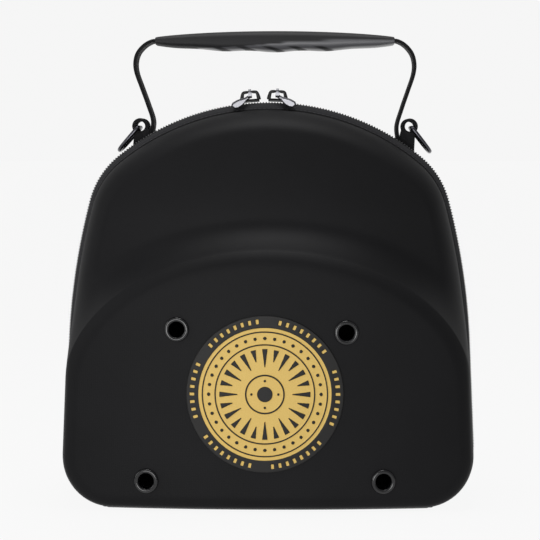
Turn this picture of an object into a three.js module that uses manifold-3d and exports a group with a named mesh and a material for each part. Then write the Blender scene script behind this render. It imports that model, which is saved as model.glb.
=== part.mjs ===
// Carrier case for fitted caps: two moulded foam half shells closed by a two-way coil zip, with a webbing
// carry handle, two D-rings, four ventilation eyelets and a round rubber badge.
// Millimetres. +X is right seen from the front, -Y is the front and +Z is up.
// The origin is at the bottom centre of the whole case.
import * as THREE from "three";
import { mergeVertices } from "three/addons/utils/BufferGeometryUtils.js";
import Module from "manifold-3d";

const wasm = await Module();
wasm.setup();

// Outline of the zip crest seen from the front: tangent arcs, with their ends in degrees from the vertical
const crestHeight = 287;
const topRadius = 175;
const topSweep = 39;
const shoulderRadius = 62;
const shoulderSweep = 75;
const sideRadius = 480;
const sideLean = 2.5;
const lowerCornerRadius = 36;

// Moulded half shells
const wall = 3.2;
const rimInset = 4;
const zipRise = 2.8;
const rimFromZip = 10;
const baseFlat = 1.2;
const frontDepth = 88;
const backDepth = 62;
const backRound = 28;

// Crown-shaped dome on the lower front, bounded above by an elliptic arch edge
const domeCentreHeight = 84;
const domeRise = 98;
const domeEdgeInset = 0.9;
const domeSideRound = 6;
const domePlanRadius = 650;
const shoulderDrop = 5.5;
const shoulderWidth = 12;

// Shallower region above the dome, curved like the brim of a cap and leaning back towards the top
const brimDepth = 59;
const brimSideDrop = 24;
const brimLeanStart = 205;
const brimTopDrop = 20;
const brimRound = 16;
const archFootWidth = 24;

// Zip, fabric hinge and sliders
const seatGap = 0.3;
const chainWidth = 6;
const chainHeight = 2.4;
const tapeThickness = 1.2;
const tapeShoulderInset = 1;
const tapeRimInset = 4.8;
const hingeThickness = 1.6;
const sliderLength = 13;
const sliderWidth = 8.6;
const sliderPlate = 1.5;
const bridgeLength = 14.6;
const bridgeHeight = 8;
const bridgeWidth = 3;
const bridgeThickness = 2.2;
const pullLength = 21;
const pullWidth = 7;
const pullThickness = 2;
const pullNeckWidth = 2.8;
const pullNeckLength = 5;
const pullStub = 4.3;
const pullEyeWall = 1.05;
const pullEyeClearance = 0.35;
const pullYaw = 50;
const pullDrop = 40;

// Carry handle: moulded grip on flat webbing, sewn to the back shell just behind the zip; barSide and
// wedgeReach are in degrees
const webbingWidth = 25;
const webbingThickness = 2.3;
const webbingFromRim = 1;
const handleShift = 3.85;
const gripLength = 175;
const gripHeight = 331.2;
const gripMiddle = 14.7;
const gripEnd = 5.6;
const gripWidth = 30;
const gripEndWidth = 28.4;
const socketDepth = 12;
const strapBow = 14.9;
const loopWall = 2.3;
const loopHole = 3.6;
const barSide = 120;
const wedgeReach = 5;

// D-rings
const ringWire = 3;
const ringSideGap = 0.6;
const ringReach = 22;

// Eyelets and badge
const eyeletRadius = 8.6;
const eyeletBore = 5.35;
const eyeletBarrel = 6.4;
const eyeletRoll = 2.2;
const eyeletTail = 1.5;
const badgeRadius = 54.4;
const badgeThickness = 1.2;
const badgeCentre = { x: -1.4, z: 83.5 };

// Numbers of facets
const outlineSteps = { bottom: 4, corner: 6, side: 2, flank: 4, shoulder: 6, top: 8 };
const roundSides = 16;
const wireSides = 6;
const ringSteps = 28;

// Strap route between the sewn pad and the grip: rise as a share of that height, bow as a share of strapBow
const strapRoute = [
  { rise: 0.05, bow: 0.2 },
  { rise: 0.19, bow: 0.14 },
  { rise: 0.36, bow: 0.39 },
  { rise: 0.53, bow: 0.69 },
  { rise: 0.69, bow: 0.96 },
  { rise: 0.78, bow: 1 },
  { rise: 0.875, bow: 0.88 },
  { rise: 0.96, bow: 0.52 },
  { rise: 1, bow: 0.12 },
];

// Where each strap is sewn on, and how its loop and D-ring sit: degrees from the vertical, stand-off in mm
const strapSides = [
  { name: "left", side: -1, padAngle: 29.7, loopAngle: 30.7, loopStandOff: 10.7, ringHang: 41 },
  { name: "right", side: 1, padAngle: 33, loopAngle: 32.8, loopStandOff: 14.6, ringHang: 38 },
];

// Sliders by their place along the zip, with the side that each pull tab leans to
const sliderPlaces = [
  { name: "left", x: -13.5, side: -1 },
  { name: "right", x: 5.9, side: 1 },
];

// Eyelet centres seen from the front
const eyeletPlaces = [
  { name: "upper_left", x: -62.4, z: 128 },
  { name: "upper_right", x: 54.8, z: 126 },
  { name: "lower_left", x: -84, z: 22.2 },
  { name: "lower_right", x: 80.6, z: 22.2 },
];

// Derived centres of the outline's arcs
const radians = (degrees) => (degrees * Math.PI) / 180;
const polar = (centre, radius, degrees) => ({
  x: centre.x + radius * Math.sin(radians(degrees)),
  z: centre.z + radius * Math.cos(radians(degrees)),
});
const topCentre = { x: 0, z: crestHeight - zipRise - topRadius };
const shoulderCentre = polar(topCentre, topRadius - shoulderRadius, topSweep);
const sideCentre = polar(shoulderCentre, shoulderRadius - sideRadius, shoulderSweep);
const sideNormal = { x: Math.cos(radians(sideLean)), z: Math.sin(radians(sideLean)) };
const sideReach = sideCentre.x * sideNormal.x + sideCentre.z * sideNormal.z + sideRadius;
const halfWidth = (sideReach - domeCentreHeight * sideNormal.z) / sideNormal.x;
const cornerReach = rimInset + lowerCornerRadius;
const cornerCentre = {
  x: (sideReach - cornerReach - lowerCornerRadius * sideNormal.z) / sideNormal.x,
  z: lowerCornerRadius,
};
const badgeStand = seatGap + badgeThickness;
const strapPlane = rimFromZip + webbingFromRim + webbingWidth / 2;

// Materials
const finish = (color, roughness, metalness = 0) =>
  new THREE.MeshStandardMaterial({ color, roughness, metalness });
const shellFabric = finish("#242426", 0.85);
const zipTape = finish("#1a1a1b", 0.9);
const zipCoil = finish("#121213", 0.5);
const blackMetal = finish("#161617", 0.35, 0.6);
const gunmetal = finish("#8f8f92", 0.35, 1);
const gripRubber = finish("#1c1c1d", 0.55);
const webbing = finish("#19191a", 0.85);
const eyeletPlastic = finish("#0e0e0f", 0.25);
const badgeRubber = finish("#d7b667", 0.5);

// Closed geometry with shared vertices and without collapsed triangles
function weld(geometry) {
  const plain = geometry.index ? geometry.toNonIndexed() : geometry.clone();
  for (const name of Object.keys(plain.attributes)) {
    if (name !== "position") plain.deleteAttribute(name);
  }
  const merged = mergeVertices(plain, 1e-3);
  const index = merged.index.array;
  const kept = [];
  for (let i = 0; i < index.length; i += 3) {
    const [a, b, c] = index.slice(i, i + 3);
    if (a !== b && b !== c && c !== a) kept.push(a, b, c);
  }
  merged.setIndex(kept);
  return merged;
}

function solidOf(geometry) {
  const welded = weld(geometry);
  return new wasm.Manifold(
    new wasm.Mesh({
      numProp: 3,
      vertProperties: new Float32Array(welded.attributes.position.array),
      triVerts: new Uint32Array(welded.index.array),
    }),
  );
}

function geometryOf(solid) {
  const mesh = solid.getMesh();
  const geometry = new THREE.BufferGeometry();
  geometry.setAttribute("position", new THREE.BufferAttribute(mesh.vertProperties, 3));
  geometry.setIndex(new THREE.BufferAttribute(mesh.triVerts, 1));
  geometry.computeVertexNormals();
  return geometry;
}

const joined = (geometries) => geometryOf(geometries.map(solidOf).reduce((all, next) => all.add(next)));
const cut = (geometry, tools) => geometryOf(tools.map(solidOf).reduce((rest, tool) => rest.subtract(tool),
  solidOf(geometry)));

// Right half of the outline at an inset from the crest, from the bottom centre to the top centre
function halfOutline(inset) {
  const steps = outlineSteps;
  const radius = cornerReach - inset;
  const corner = cornerCentre;
  const upright = 90 - sideLean;
  const line = [];
  const arc = (centre, r, from, to, count) => {
    for (let i = 0; i < count; i++) {
      const angle = from + ((to - from) * i) / count;
      const point = polar(centre, r, angle);
      line.push({ ...point, nx: Math.sin(radians(angle)), nz: Math.cos(radians(angle)) });
    }
  };
  for (let i = 0; i < steps.bottom; i++) {
    line.push({ x: (corner.x * i) / steps.bottom, z: corner.z - radius, nx: 0, nz: -1 });
  }
  arc(corner, radius, 180, upright, steps.corner);
  const low = polar(corner, radius, upright);
  const high = polar(sideCentre, sideRadius - inset, upright);
  for (let i = 0; i < steps.side; i++) {
    const share = i / steps.side;
    const x = low.x + (high.x - low.x) * share;
    line.push({ x, z: low.z + (high.z - low.z) * share, nx: sideNormal.x, nz: sideNormal.z });
  }
  arc(sideCentre, sideRadius - inset, upright, shoulderSweep, steps.flank);
  arc(shoulderCentre, shoulderRadius - inset, shoulderSweep, topSweep, steps.shoulder);
  arc(topCentre, topRadius - inset, topSweep, 0, steps.top);
  line.push({ ...polar(topCentre, topRadius - inset, 0), nx: 0, nz: 1 });
  return line;
}

// Whole outline, once round: bottom centre, right side, top centre, left side
function outlineLoop(inset) {
  const right = halfOutline(inset);
  const left = right.slice(1, -1).reverse();
  return [...right, ...left.map((p) => ({ x: -p.x, z: p.z, nx: -p.nx, nz: p.nz }))];
}

// Distance of a point inside the outline
function insetAt(x, z) {
  const out = Math.abs(x);
  const angleFrom = (centre) => Math.atan2(out - centre.x, z - centre.z) / radians(1);
  const within = (centre, radius) => radius - Math.hypot(out - centre.x, z - centre.z);
  if (angleFrom(sideCentre) > 90 - sideLean) {
    const inCorner = out > cornerCentre.x && angleFrom(cornerCentre) > 90 - sideLean;
    const fromSide = sideReach - out * sideNormal.x - z * sideNormal.z;
    return inCorner ? within(cornerCentre, cornerReach) : Math.min(fromSide, z + rimInset);
  }
  const joint = 1e-3;
  if (angleFrom(topCentre) < topSweep + joint) return within(topCentre, topRadius);
  const angle = angleFrom(shoulderCentre);
  const onShoulder = angle > topSweep - joint && angle < shoulderSweep + joint;
  return onShoulder ? within(shoulderCentre, shoulderRadius) : within(sideCentre, sideRadius);
}

// Share of the full depth at a distance inside the rim: a superellipse quarter as wide as width
function roundOff(inside, width, power) {
  const left = 1 - THREE.MathUtils.clamp(inside / width, 0, 1);
  return (1 - left ** power) ** (1 / power);
}

const sag = (x, radius) => radius - Math.sqrt(radius * radius - x * x);

// Front surface at an offset inside the outer skin: the dome's edge on each ray, and the depth at a point
function frontSurface(offset) {
  const a = halfWidth - rimInset - domeEdgeInset - offset;
  const b = domeRise - offset;
  const insideRim = (x, z) => insetAt(x, z) - rimInset - offset;

  // Distance inside the dome's edge: an ellipse above the dome's centre, a line inside the rim below it
  function insideEdge(x, z) {
    const up = z - domeCentreHeight;
    if (up <= 0) return insideRim(x, z) - domeEdgeInset;
    const level = Math.hypot(x / a, up / b);
    return (level * (1 - level)) / Math.hypot(x / (a * a), up / (b * b));
  }

  function depth(x, z) {
    const inside = insideRim(x, z);
    const edge = insideEdge(x, z);
    const face = frontDepth - offset - sag(x, domePlanRadius) - rimFromZip;
    const lean = Math.max(z - brimLeanStart, 0) / (crestHeight - brimLeanStart);
    const drop = brimSideDrop * (x / halfWidth) ** 2 + brimTopDrop * lean ** 1.5;
    const brimFace = brimDepth - offset - drop - rimFromZip;
    const shoulder = shoulderDrop * (1 - THREE.MathUtils.clamp(edge / shoulderWidth, 0, 1)) ** 2.2;
    const dome = (face - shoulder) * roundOff(inside, domeSideRound, 4);
    const brim = Math.max(brimFace, 0) * roundOff(inside, brimRound, 2.2);
    const climb = (1 - THREE.MathUtils.clamp(-edge / archFootWidth, 0, 1)) ** 2.3;
    return rimFromZip + (edge >= 0 ? dome : brim + (dome - brim) * climb);
  }

  // Share of the way from the dome's centre to a rim point where the ray crosses the edge, and how far
  // a millimetre inside the edge reaches along the ray
  function crossing(rim) {
    const dx = rim.x;
    const dz = rim.z - domeCentreHeight;
    if (dz <= 0) {
      const support = dx * rim.nx + dz * rim.nz;
      return { share: 1 - domeEdgeInset / support, perMm: 1 / support };
    }
    const share = 1 / Math.hypot(dx / a, dz / b);
    return { share, perMm: share * share * share * Math.hypot(dx / (a * a), dz / (b * b)) };
  }
  return { depth, crossing };
}

// Back surface at an offset inside the outer skin: a flat back with rounded edges
function backSurface(offset) {
  const depth = (x, z) => {
    const inside = insetAt(x, z) - rimInset - offset;
    return rimFromZip + (backDepth - offset - rimFromZip) * roundOff(inside, backRound, 3);
  };
  const crossing = (rim) => {
    const support = rim.x * rim.nx + (rim.z - domeCentreHeight) * rim.nz;
    return { share: 1 - backRound / support, perMm: 1 / support };
  };
  return { depth, crossing };
}

// One net of points over a surface: rows from the rim to the dome's centre, a point for each ray
// outer holds shares of the way from the rim to the edge, shoulder holds shares of shoulderWidth inside
// the edge, and inner holds shares of what is left to the centre
function surfaceRows(surface, offset, rows) {
  const rims = outlineLoop(rimInset + offset);
  const rays = rims.map((rim) => {
    const { share, perMm } = surface.crossing(rim);
    const last = share - Math.max(...rows.shoulder) * shoulderWidth * perMm;
    return [
      ...rows.outer.map((s) => 1 - s * (1 - share)),
      ...rows.shoulder.map((s) => share - s * shoulderWidth * perMm),
      ...rows.inner.map((s) => last * (1 - s)),
    ].map((along) => {
      const x = rim.x * along;
      const z = domeCentreHeight + (rim.z - domeCentreHeight) * along;
      const flatZ = offset === 0 && z < baseFlat ? 0 : z;
      return [x, surface.depth(x, z), flatZ];
    });
  });
  return rays[0].map((_, row) => rays.map((ray) => ray[row]));
}

// Closed half shell between an outer and an inner net; facing is -1 for the front and 1 for the back
function halfShell(outerNet, innerNet, facing) {
  const rows = [...outerNet.reverse(), ...innerNet];
  if (facing < 0) rows.reverse();
  const profile = rows.map((_, j) => new THREE.Vector2(j === 0 || j === rows.length - 1 ? 0 : 1, -j));
  const rays = rows[0].length;
  const geometry = new THREE.LatheGeometry(profile, rays);
  const position = geometry.getAttribute("position");
  for (let i = 0; i <= rays; i++) {
    rows.forEach((row, j) => {
      const [x, depth, z] = row[i % rays];
      position.setXYZ(i * rows.length + j, x, facing * depth, z);
    });
  }
  return weld(geometry);
}

const frontRows = {
  outer: [0, 0.006, 0.02, 0.05, 0.1, 0.17, 0.26, 0.38, 0.55, 0.76, 0.84, 0.92],
  shoulder: [0, 0.12, 0.3, 0.55, 0.8, 1.1],
  inner: [0.25, 0.5, 0.75, 1],
};
const frontInnerRows = {
  outer: [0, 0.02, 0.1, 0.25, 0.5, 0.78],
  shoulder: [0, 0.5, 1.1],
  inner: [0.25, 0.5, 0.75, 1],
};
const backRows = { outer: [0, 0.01, 0.06, 0.16, 0.3, 0.5, 0.72], shoulder: [0], inner: [1] };
const backInnerRows = { outer: [0, 0.04, 0.16, 0.45], shoulder: [0], inner: [1] };

// Placed on the dome's face: outward axis along a tool's +Y
function onFace(geometry, x, z) {
  const tilt = Math.asin(x / domePlanRadius);
  geometry.rotateX(Math.PI);
  geometry.rotateZ(tilt);
  geometry.translate(x, -(frontDepth - sag(x, domePlanRadius)), z);
  return geometry;
}

function frontShell() {
  const shell = halfShell(
    surfaceRows(frontSurface(0), 0, frontRows),
    surfaceRows(frontSurface(wall), wall, frontInnerRows),
    -1,
  );
  const holes = eyeletPlaces.map(({ x, z }) => {
    const radius = (eyeletBarrel + seatGap) / Math.cos(Math.PI / roundSides);
    return onFace(new THREE.CylinderGeometry(radius, radius, 6 * wall, roundSides), x, z);
  });
  return cut(shell, holes);
}

function backShell() {
  return halfShell(
    surfaceRows(backSurface(0), 0, backRows),
    surfaceRows(backSurface(wall), wall, backInnerRows),
    1,
  );
}

function eyelet({ x, z }) {
  const tail = -(wall + eyeletTail);
  const profile = [
    [eyeletBore, eyeletRoll / 2],
    [eyeletBore + (eyeletRadius - eyeletBore) * 0.25, eyeletRoll],
    [eyeletBore + (eyeletRadius - eyeletBore) * 0.6, eyeletRoll],
    [eyeletRadius, eyeletRoll / 2],
    [eyeletRadius, seatGap],
    [eyeletBarrel, seatGap],
    [eyeletBarrel, tail],
    [eyeletBore, tail],
    [eyeletBore, eyeletRoll / 2],
  ].map(([r, h]) => new THREE.Vector2(r, h));
  return onFace(new THREE.LatheGeometry(profile.reverse(), roundSides), x, z);
}

// Thin rubber disc that follows the dome's face
function badge() {
  const rings = [1, 0.66, 0.33, 0];
  const profile = [
    ...[...rings].reverse().map((r) => [r, badgeStand]),
    ...rings.map((r) => [r, seatGap]),
  ].map(([r, h]) => new THREE.Vector2(r * badgeRadius, h));
  const geometry = new THREE.LatheGeometry(profile, 36);
  const position = geometry.getAttribute("position");
  for (let i = 0; i < position.count; i++) {
    const x = badgeCentre.x + position.getX(i);
    const depth = frontDepth - sag(x, domePlanRadius) + position.getY(i);
    position.setXYZ(i, x, -depth, badgeCentre.z + position.getZ(i));
  }
  return geometry;
}

// Section of [distance from the zip plane, inset from the crest] points carried along part of the outline
// The crest stands zipRise higher over the top, and the section stretches to reach the rim
function alongOutline(section, stations) {
  const shape = new THREE.Shape(section.map(([y, inset]) => new THREE.Vector2(y, inset)));
  const steps = stations.length - 1;
  const geometry = new THREE.ExtrudeGeometry(shape, { depth: steps, steps, bevelEnabled: false });
  const position = geometry.getAttribute("position");
  for (let i = 0; i < position.count; i++) {
    const station = stations[Math.round(position.getZ(i))];
    const rise = station.rise * station.nz * Math.min(position.getY(i) / rimInset, 1);
    const inset = position.getY(i) + rise;
    const x = station.x - station.nx * inset;
    const z = station.z - station.nz * inset;
    position.setXYZ(i, x, position.getX(i), z);
  }
  return geometry;
}

// The zip runs over the top between the middles of the lower corners, and the fabric hinge closes the
// bottom and passes under the ends of the zip
const crest = outlineLoop(0).map((p) => {
  const rise = zipRise * THREE.MathUtils.smoothstep(p.z, cornerCentre.z, sideCentre.z);
  return { ...p, z: p.z + rise, rise };
});
const zipEnd = outlineSteps.bottom + outlineSteps.corner / 2;
const zipStations = crest.slice(zipEnd, crest.length - zipEnd + 1);
const hingeStations = [...crest.slice(-zipEnd - 1), ...crest.slice(0, zipEnd + 2)];

function zipTapeStrip(side) {
  const chainEdge = side * (chainWidth / 2 + seatGap);
  const rimEdge = side * (rimFromZip - seatGap);
  const section = [
    [chainEdge, tapeShoulderInset],
    [rimEdge, tapeRimInset],
    [rimEdge, tapeRimInset + tapeThickness],
    [chainEdge, tapeShoulderInset + tapeThickness],
  ];
  return alongOutline(section, zipStations);
}

function zipChain() {
  const flat = chainWidth * 0.3;
  const section = [
    [-chainWidth / 2, chainHeight / 2],
    [-flat, 0],
    [flat, 0],
    [chainWidth / 2, chainHeight / 2],
    [flat, chainHeight],
    [-flat, chainHeight],
  ];
  return alongOutline(section, zipStations);
}

function hingeStrip() {
  const edge = rimFromZip - seatGap;
  const outside = tapeRimInset + tapeThickness + seatGap;
  const section = [
    [-edge, outside],
    [edge, outside],
    [edge, outside + hingeThickness],
    [-edge, outside + hingeThickness],
  ];
  return alongOutline(section, hingeStations);
}

// Extruded along Y from a shape drawn in X and Z, centred on Y = 0
function plate(shape, width, curveSegments = 6) {
  const geometry = new THREE.ExtrudeGeometry(shape, { depth: width, bevelEnabled: false, curveSegments });
  geometry.rotateX(Math.PI / 2);
  geometry.translate(0, width / 2, 0);
  return geometry;
}

// Slider seen along the zip, in a frame on the crest with +Z outwards: a plate that clasps the coil, and a
// bridge for the pull tab
function slider() {
  const half = sliderWidth / 2;
  const lip = tapeShoulderInset * 0.5;
  const innerEdge = chainWidth / 2 + seatGap;
  const clasp = new THREE.Shape([
    new THREE.Vector2(-half, -lip),
    new THREE.Vector2(-innerEdge, -lip),
    new THREE.Vector2(-innerEdge, seatGap),
    new THREE.Vector2(innerEdge, seatGap),
    new THREE.Vector2(innerEdge, -lip),
    new THREE.Vector2(half, -lip),
    new THREE.Vector2(half - 1, seatGap + sliderPlate),
    new THREE.Vector2(1 - half, seatGap + sliderPlate),
  ]);
  const body = new THREE.ExtrudeGeometry(clasp, { depth: sliderLength, bevelEnabled: false });
  body.translate(0, 0, -sliderLength / 2);
  body.rotateX(Math.PI / 2);
  body.rotateZ(Math.PI / 2);
  const foot = seatGap + sliderPlate / 2;
  const arch = archShape(bridgeLength / 2, bridgeHeight, foot);
  arch.holes.push(archShape(bridgeLength / 2 - bridgeThickness, bridgeHeight - bridgeThickness, foot + 1));
  return joined([body, plate(arch, bridgeWidth)]);
}

// Arch seen from the front, with straight legs and rounded shoulders
function archShape(half, height, foot) {
  const radius = (height - foot) * 0.6;
  const arch = new THREE.Shape();
  arch.moveTo(-half, foot);
  arch.lineTo(half, foot);
  arch.lineTo(half, height - radius);
  arch.absarc(half - radius, height - radius, radius, 0, Math.PI / 2, false);
  arch.absarc(radius - half, height - radius, radius, Math.PI / 2, Math.PI, false);
  arch.lineTo(-half, foot);
  return arch;
}

const barHeight = bridgeHeight - bridgeThickness / 2;
const eyeBore = Math.hypot(bridgeWidth, bridgeThickness) / 2 + pullEyeClearance;

// Pull tab: an eye round the bridge, and a tapered tab that leans to one side over the front rim
// Its frame has the hinge, the bridge's bar, on the X axis
function pullTab(side) {
  const eyeOuter = eyeBore + pullEyeWall;
  const eyeProfile = [
    [eyeBore, -pullThickness / 2],
    [eyeOuter, -pullThickness / 2],
    [eyeOuter, pullThickness / 2],
    [eyeBore, pullThickness / 2],
    [eyeBore, -pullThickness / 2],
  ].map(([r, h]) => new THREE.Vector2(r, h));
  const eye = new THREE.LatheGeometry(eyeProfile, roundSides);
  eye.rotateZ(Math.PI / 2);
  const neck = pullNeckWidth / 2;
  const broad = pullWidth / 2;
  const reach = pullLength - pullStub;
  const outline = new THREE.Shape([
    new THREE.Vector2(neck, 0),
    new THREE.Vector2(-neck, 0),
    new THREE.Vector2(-neck, -pullNeckLength),
    new THREE.Vector2(-broad, -pullNeckLength - broad),
    new THREE.Vector2(-broad, broad * 0.5 - reach),
    new THREE.Vector2(-broad * 0.6, -reach),
    new THREE.Vector2(broad * 0.6, -reach),
    new THREE.Vector2(broad, broad * 0.5 - reach),
    new THREE.Vector2(broad, -pullNeckLength - broad),
    new THREE.Vector2(neck, -pullNeckLength),
  ]);
  const tab = new THREE.ExtrudeGeometry(outline, { depth: pullThickness, bevelEnabled: false });
  tab.translate(0, 0, -pullThickness / 2);
  tab.rotateZ(side * radians(pullYaw));
  tab.translate(0, -pullStub, 0);
  tab.rotateX(radians(pullDrop));
  const stubStart = eyeBore + pullEyeWall * 0.4;
  const stub = new THREE.BoxGeometry(pullNeckWidth, pullStub + neck - stubStart, pullThickness);
  stub.translate(0, -(pullStub + neck + stubStart) / 2, 0);
  stub.rotateX(radians(pullDrop));
  return joined([eye, stub, tab]);
}

// Ribbon of webbing round a centre line of [x, z] points, centred on Y = 0
function ribbon(points, thickness, width, samples) {
  const curve = new THREE.CatmullRomCurve3(points.map(([x, z]) => new THREE.Vector3(x, 0, z)));
  const upper = [];
  const lower = [];
  for (let i = 0; i <= samples; i++) {
    const p = curve.getPointAt(i / samples);
    const t = curve.getTangentAt(i / samples);
    upper.push(new THREE.Vector2(p.x - (t.z * thickness) / 2, p.z + (t.x * thickness) / 2));
    lower.push(new THREE.Vector2(p.x + (t.z * thickness) / 2, p.z - (t.x * thickness) / 2));
  }
  return plate(new THREE.Shape([...upper, ...lower.reverse()]), width);
}

const padRadius = topRadius - rimInset + seatGap + webbingThickness / 2;
const gripEndX = gripLength / 2;
const loopOuter = loopHole + loopWall;

// Centre of a strap's loop
function loopCentre({ side, loopAngle, loopStandOff }) {
  const centre = polar(topCentre, topRadius + loopStandOff, loopAngle);
  return { x: side * centre.x, z: centre.z };
}

// Place of a D-ring's bar: it lies against the lower outer side of the loop's hole
function barCentre(place) {
  const centre = loopCentre(place);
  const bar = polar({ x: 0, z: 0 }, loopHole - ringWire / 2 - seatGap, barSide);
  return { x: centre.x + place.side * bar.x, z: centre.z + bar.z };
}

// One strap: from its socket in the grip down to a pad sewn along the back shell, with a wedge of folded
// webbing that carries the loop for the D-ring
function strap(place) {
  const { side, padAngle, loopAngle } = place;
  const pad = polar(topCentre, padRadius, padAngle);
  const grip = handleShift * side + gripEndX;
  const rise = gripHeight - pad.z;
  const route = strapRoute.map((p) => [side * (grip + p.bow * strapBow), pad.z + p.rise * rise]);
  const points = [
    [side * pad.x, pad.z],
    ...route,
    [side * (grip - 3), gripHeight],
    [side * (grip - socketDepth + 1), gripHeight],
  ];
  const run = ribbon(points, webbingThickness, webbingWidth, 40);
  const padPoints = [-3.5, -2, 0, 2, 4, loopAngle - padAngle + wedgeReach + 1].map((turn) => {
    const p = polar(topCentre, padRadius, padAngle + turn);
    return [side * p.x, p.z];
  });
  const padStrip = ribbon(padPoints, webbingThickness, webbingWidth, 8);
  const loop = loopCentre(place);
  const nearFoot = polar(topCentre, padRadius, padAngle);
  const farFoot = polar(topCentre, padRadius, loopAngle + wedgeReach);
  const lean = radians(loopAngle);
  const across = { x: side * Math.cos(lean) * loopOuter * 0.8, z: -Math.sin(lean) * loopOuter * 0.8 };
  const wedge = new THREE.Shape([
    new THREE.Vector2(side * nearFoot.x, nearFoot.z),
    new THREE.Vector2(side * farFoot.x, farFoot.z),
    new THREE.Vector2(loop.x + across.x, loop.z + across.z),
    new THREE.Vector2(loop.x - across.x, loop.z - across.z),
  ]);
  const disc = new THREE.Shape().absarc(loop.x, loop.z, loopOuter, 0, 2 * Math.PI, false);
  const hole = new THREE.Shape().absarc(loop.x, loop.z, loopHole, 0, 2 * Math.PI, false);
  const body = joined([run, padStrip, plate(wedge, webbingWidth), plate(disc, webbingWidth, 8)]);
  return cut(body, [plate(hole, 2 * webbingWidth, 8)]);
}

// Grip: a long lens seen from the front, rounded in section, with a socket for the webbing in each end
function grip() {
  const body = new THREE.CylinderGeometry(1, 1, 2, 20, 12);
  const position = body.getAttribute("position");
  for (let i = 0; i < position.count; i++) {
    const share = position.getY(i);
    const swell = (1 - share * share) ** 0.8;
    const edge = Math.abs(share) > 0.99 ? 0.96 : 1;
    const halfTall = (edge * (gripEnd + (gripMiddle - gripEnd) * swell)) / 2;
    const halfDeep = (edge * (gripEndWidth + (gripWidth - gripEndWidth) * swell)) / 2;
    const turn = Math.atan2(position.getZ(i), position.getX(i));
    const radius = Math.hypot(position.getZ(i), position.getX(i));
    const square = (v) => Math.sign(v) * Math.abs(v) ** 0.6;
    const deep = -radius * square(Math.cos(turn)) * halfDeep;
    const tall = radius * square(Math.sin(turn)) * halfTall;
    position.setXYZ(i, (share * gripLength) / 2, deep, tall);
  }
  const sockets = [-1, 1].map((side) => {
    const size = [2 * socketDepth, webbingWidth + 2 * seatGap, webbingThickness + 2 * seatGap];
    return new THREE.BoxGeometry(...size).translate((side * gripLength) / 2, 0, 0);
  });
  return cut(body, sockets);
}

// D-ring with its straight bar on the Y axis and its bow towards -Z
function dRing() {
  const corner = ringWire / 2 + ringSideGap;
  const half = webbingWidth / 2 + corner;
  const bow = new THREE.Path();
  bow.moveTo(-half + corner, 0);
  bow.lineTo(half - corner, 0);
  bow.quadraticCurveTo(half, 0, half, -corner);
  bow.bezierCurveTo(half, -ringReach * 0.9, half * 0.7, -ringReach, 0, -ringReach);
  bow.bezierCurveTo(-half * 0.7, -ringReach, -half, -ringReach * 0.9, -half, -corner);
  bow.quadraticCurveTo(-half, 0, -half + corner, 0);
  const geometry = new THREE.TorusGeometry(1, 1, wireSides, ringSteps);
  const position = geometry.getAttribute("position");
  const points = bow.getSpacedPoints(ringSteps).slice(0, ringSteps);
  for (let side = 0; side <= wireSides; side++) {
    for (let step = 0; step <= ringSteps; step++) {
      const p = points[step % ringSteps];
      const next = points[(step + 1) % ringSteps];
      const last = points[(step + ringSteps - 1) % ringSteps];
      const length = Math.hypot(next.x - last.x, next.y - last.y);
      const out = { y: -(next.y - last.y) / length, z: (next.x - last.x) / length };
      const turn = (2 * Math.PI * side) / wireSides;
      const away = (ringWire / 2) * Math.cos(turn);
      const across = -(ringWire / 2) * Math.sin(turn);
      position.setXYZ(side * (ringSteps + 1) + step, across, p.x + out.y * away, p.y + out.z * away);
    }
  }
  return geometry;
}

// Assembly: everything is placed from the zip plane, which lies behind the middle of the case
const carrier = new THREE.Group();
carrier.position.y = (frontDepth + badgeStand - backDepth) / 2;

function add(name, geometry, material, parent = carrier) {
  const mesh = new THREE.Mesh(geometry, material.clone());
  mesh.name = name;
  parent.add(mesh);
  return mesh;
}

add("front_shell", frontShell(), shellFabric);
add("back_shell", backShell(), shellFabric);
add("zip_tape_front", zipTapeStrip(-1), zipTape);
add("zip_tape_back", zipTapeStrip(1), zipTape);
add("zip_chain", zipChain(), zipCoil);
add("hinge_strip", hingeStrip(), zipTape);
for (const place of eyeletPlaces) add(`eyelet_${place.name}`, eyelet(place), eyeletPlastic);
add("badge", badge(), badgeRubber);

for (const { name, x, side } of sliderPlaces) {
  const onCrest = new THREE.Group();
  const angle = Math.asin(x / topRadius);
  onCrest.position.set(x, 0, topCentre.z + zipRise + topRadius * Math.cos(angle));
  onCrest.rotation.y = angle;
  add(`slider_${name}`, slider(), blackMetal, onCrest);
  add(`pull_tab_${name}`, pullTab(side), gunmetal, onCrest).position.z = barHeight;
  carrier.add(onCrest);
}

add("handle_grip", grip(), gripRubber).position.set(handleShift, strapPlane, gripHeight);
for (const place of strapSides) {
  add(`webbing_${place.name}`, strap(place), webbing).position.y = strapPlane;
  const ring = add(`d_ring_${place.name}`, dRing(), gunmetal);
  const centre = barCentre(place);
  ring.position.set(centre.x, strapPlane, centre.z);
  ring.rotation.y = -place.side * radians(place.ringHang);
}

const part = new THREE.Group();
part.add(carrier);
export default part;
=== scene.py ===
"""Carrier case for fitted caps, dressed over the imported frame.

Shapes are worked out in millimetres from the zip plane, with the front towards -Y, and become metres in the
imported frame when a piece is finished.
"""

import logging
import math
from collections.abc import Callable, Sequence
from dataclasses import dataclass, field, replace
from enum import Enum
from functools import cached_property
from itertools import pairwise

import bmesh
import bpy
from mathutils import Matrix, Vector


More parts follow.
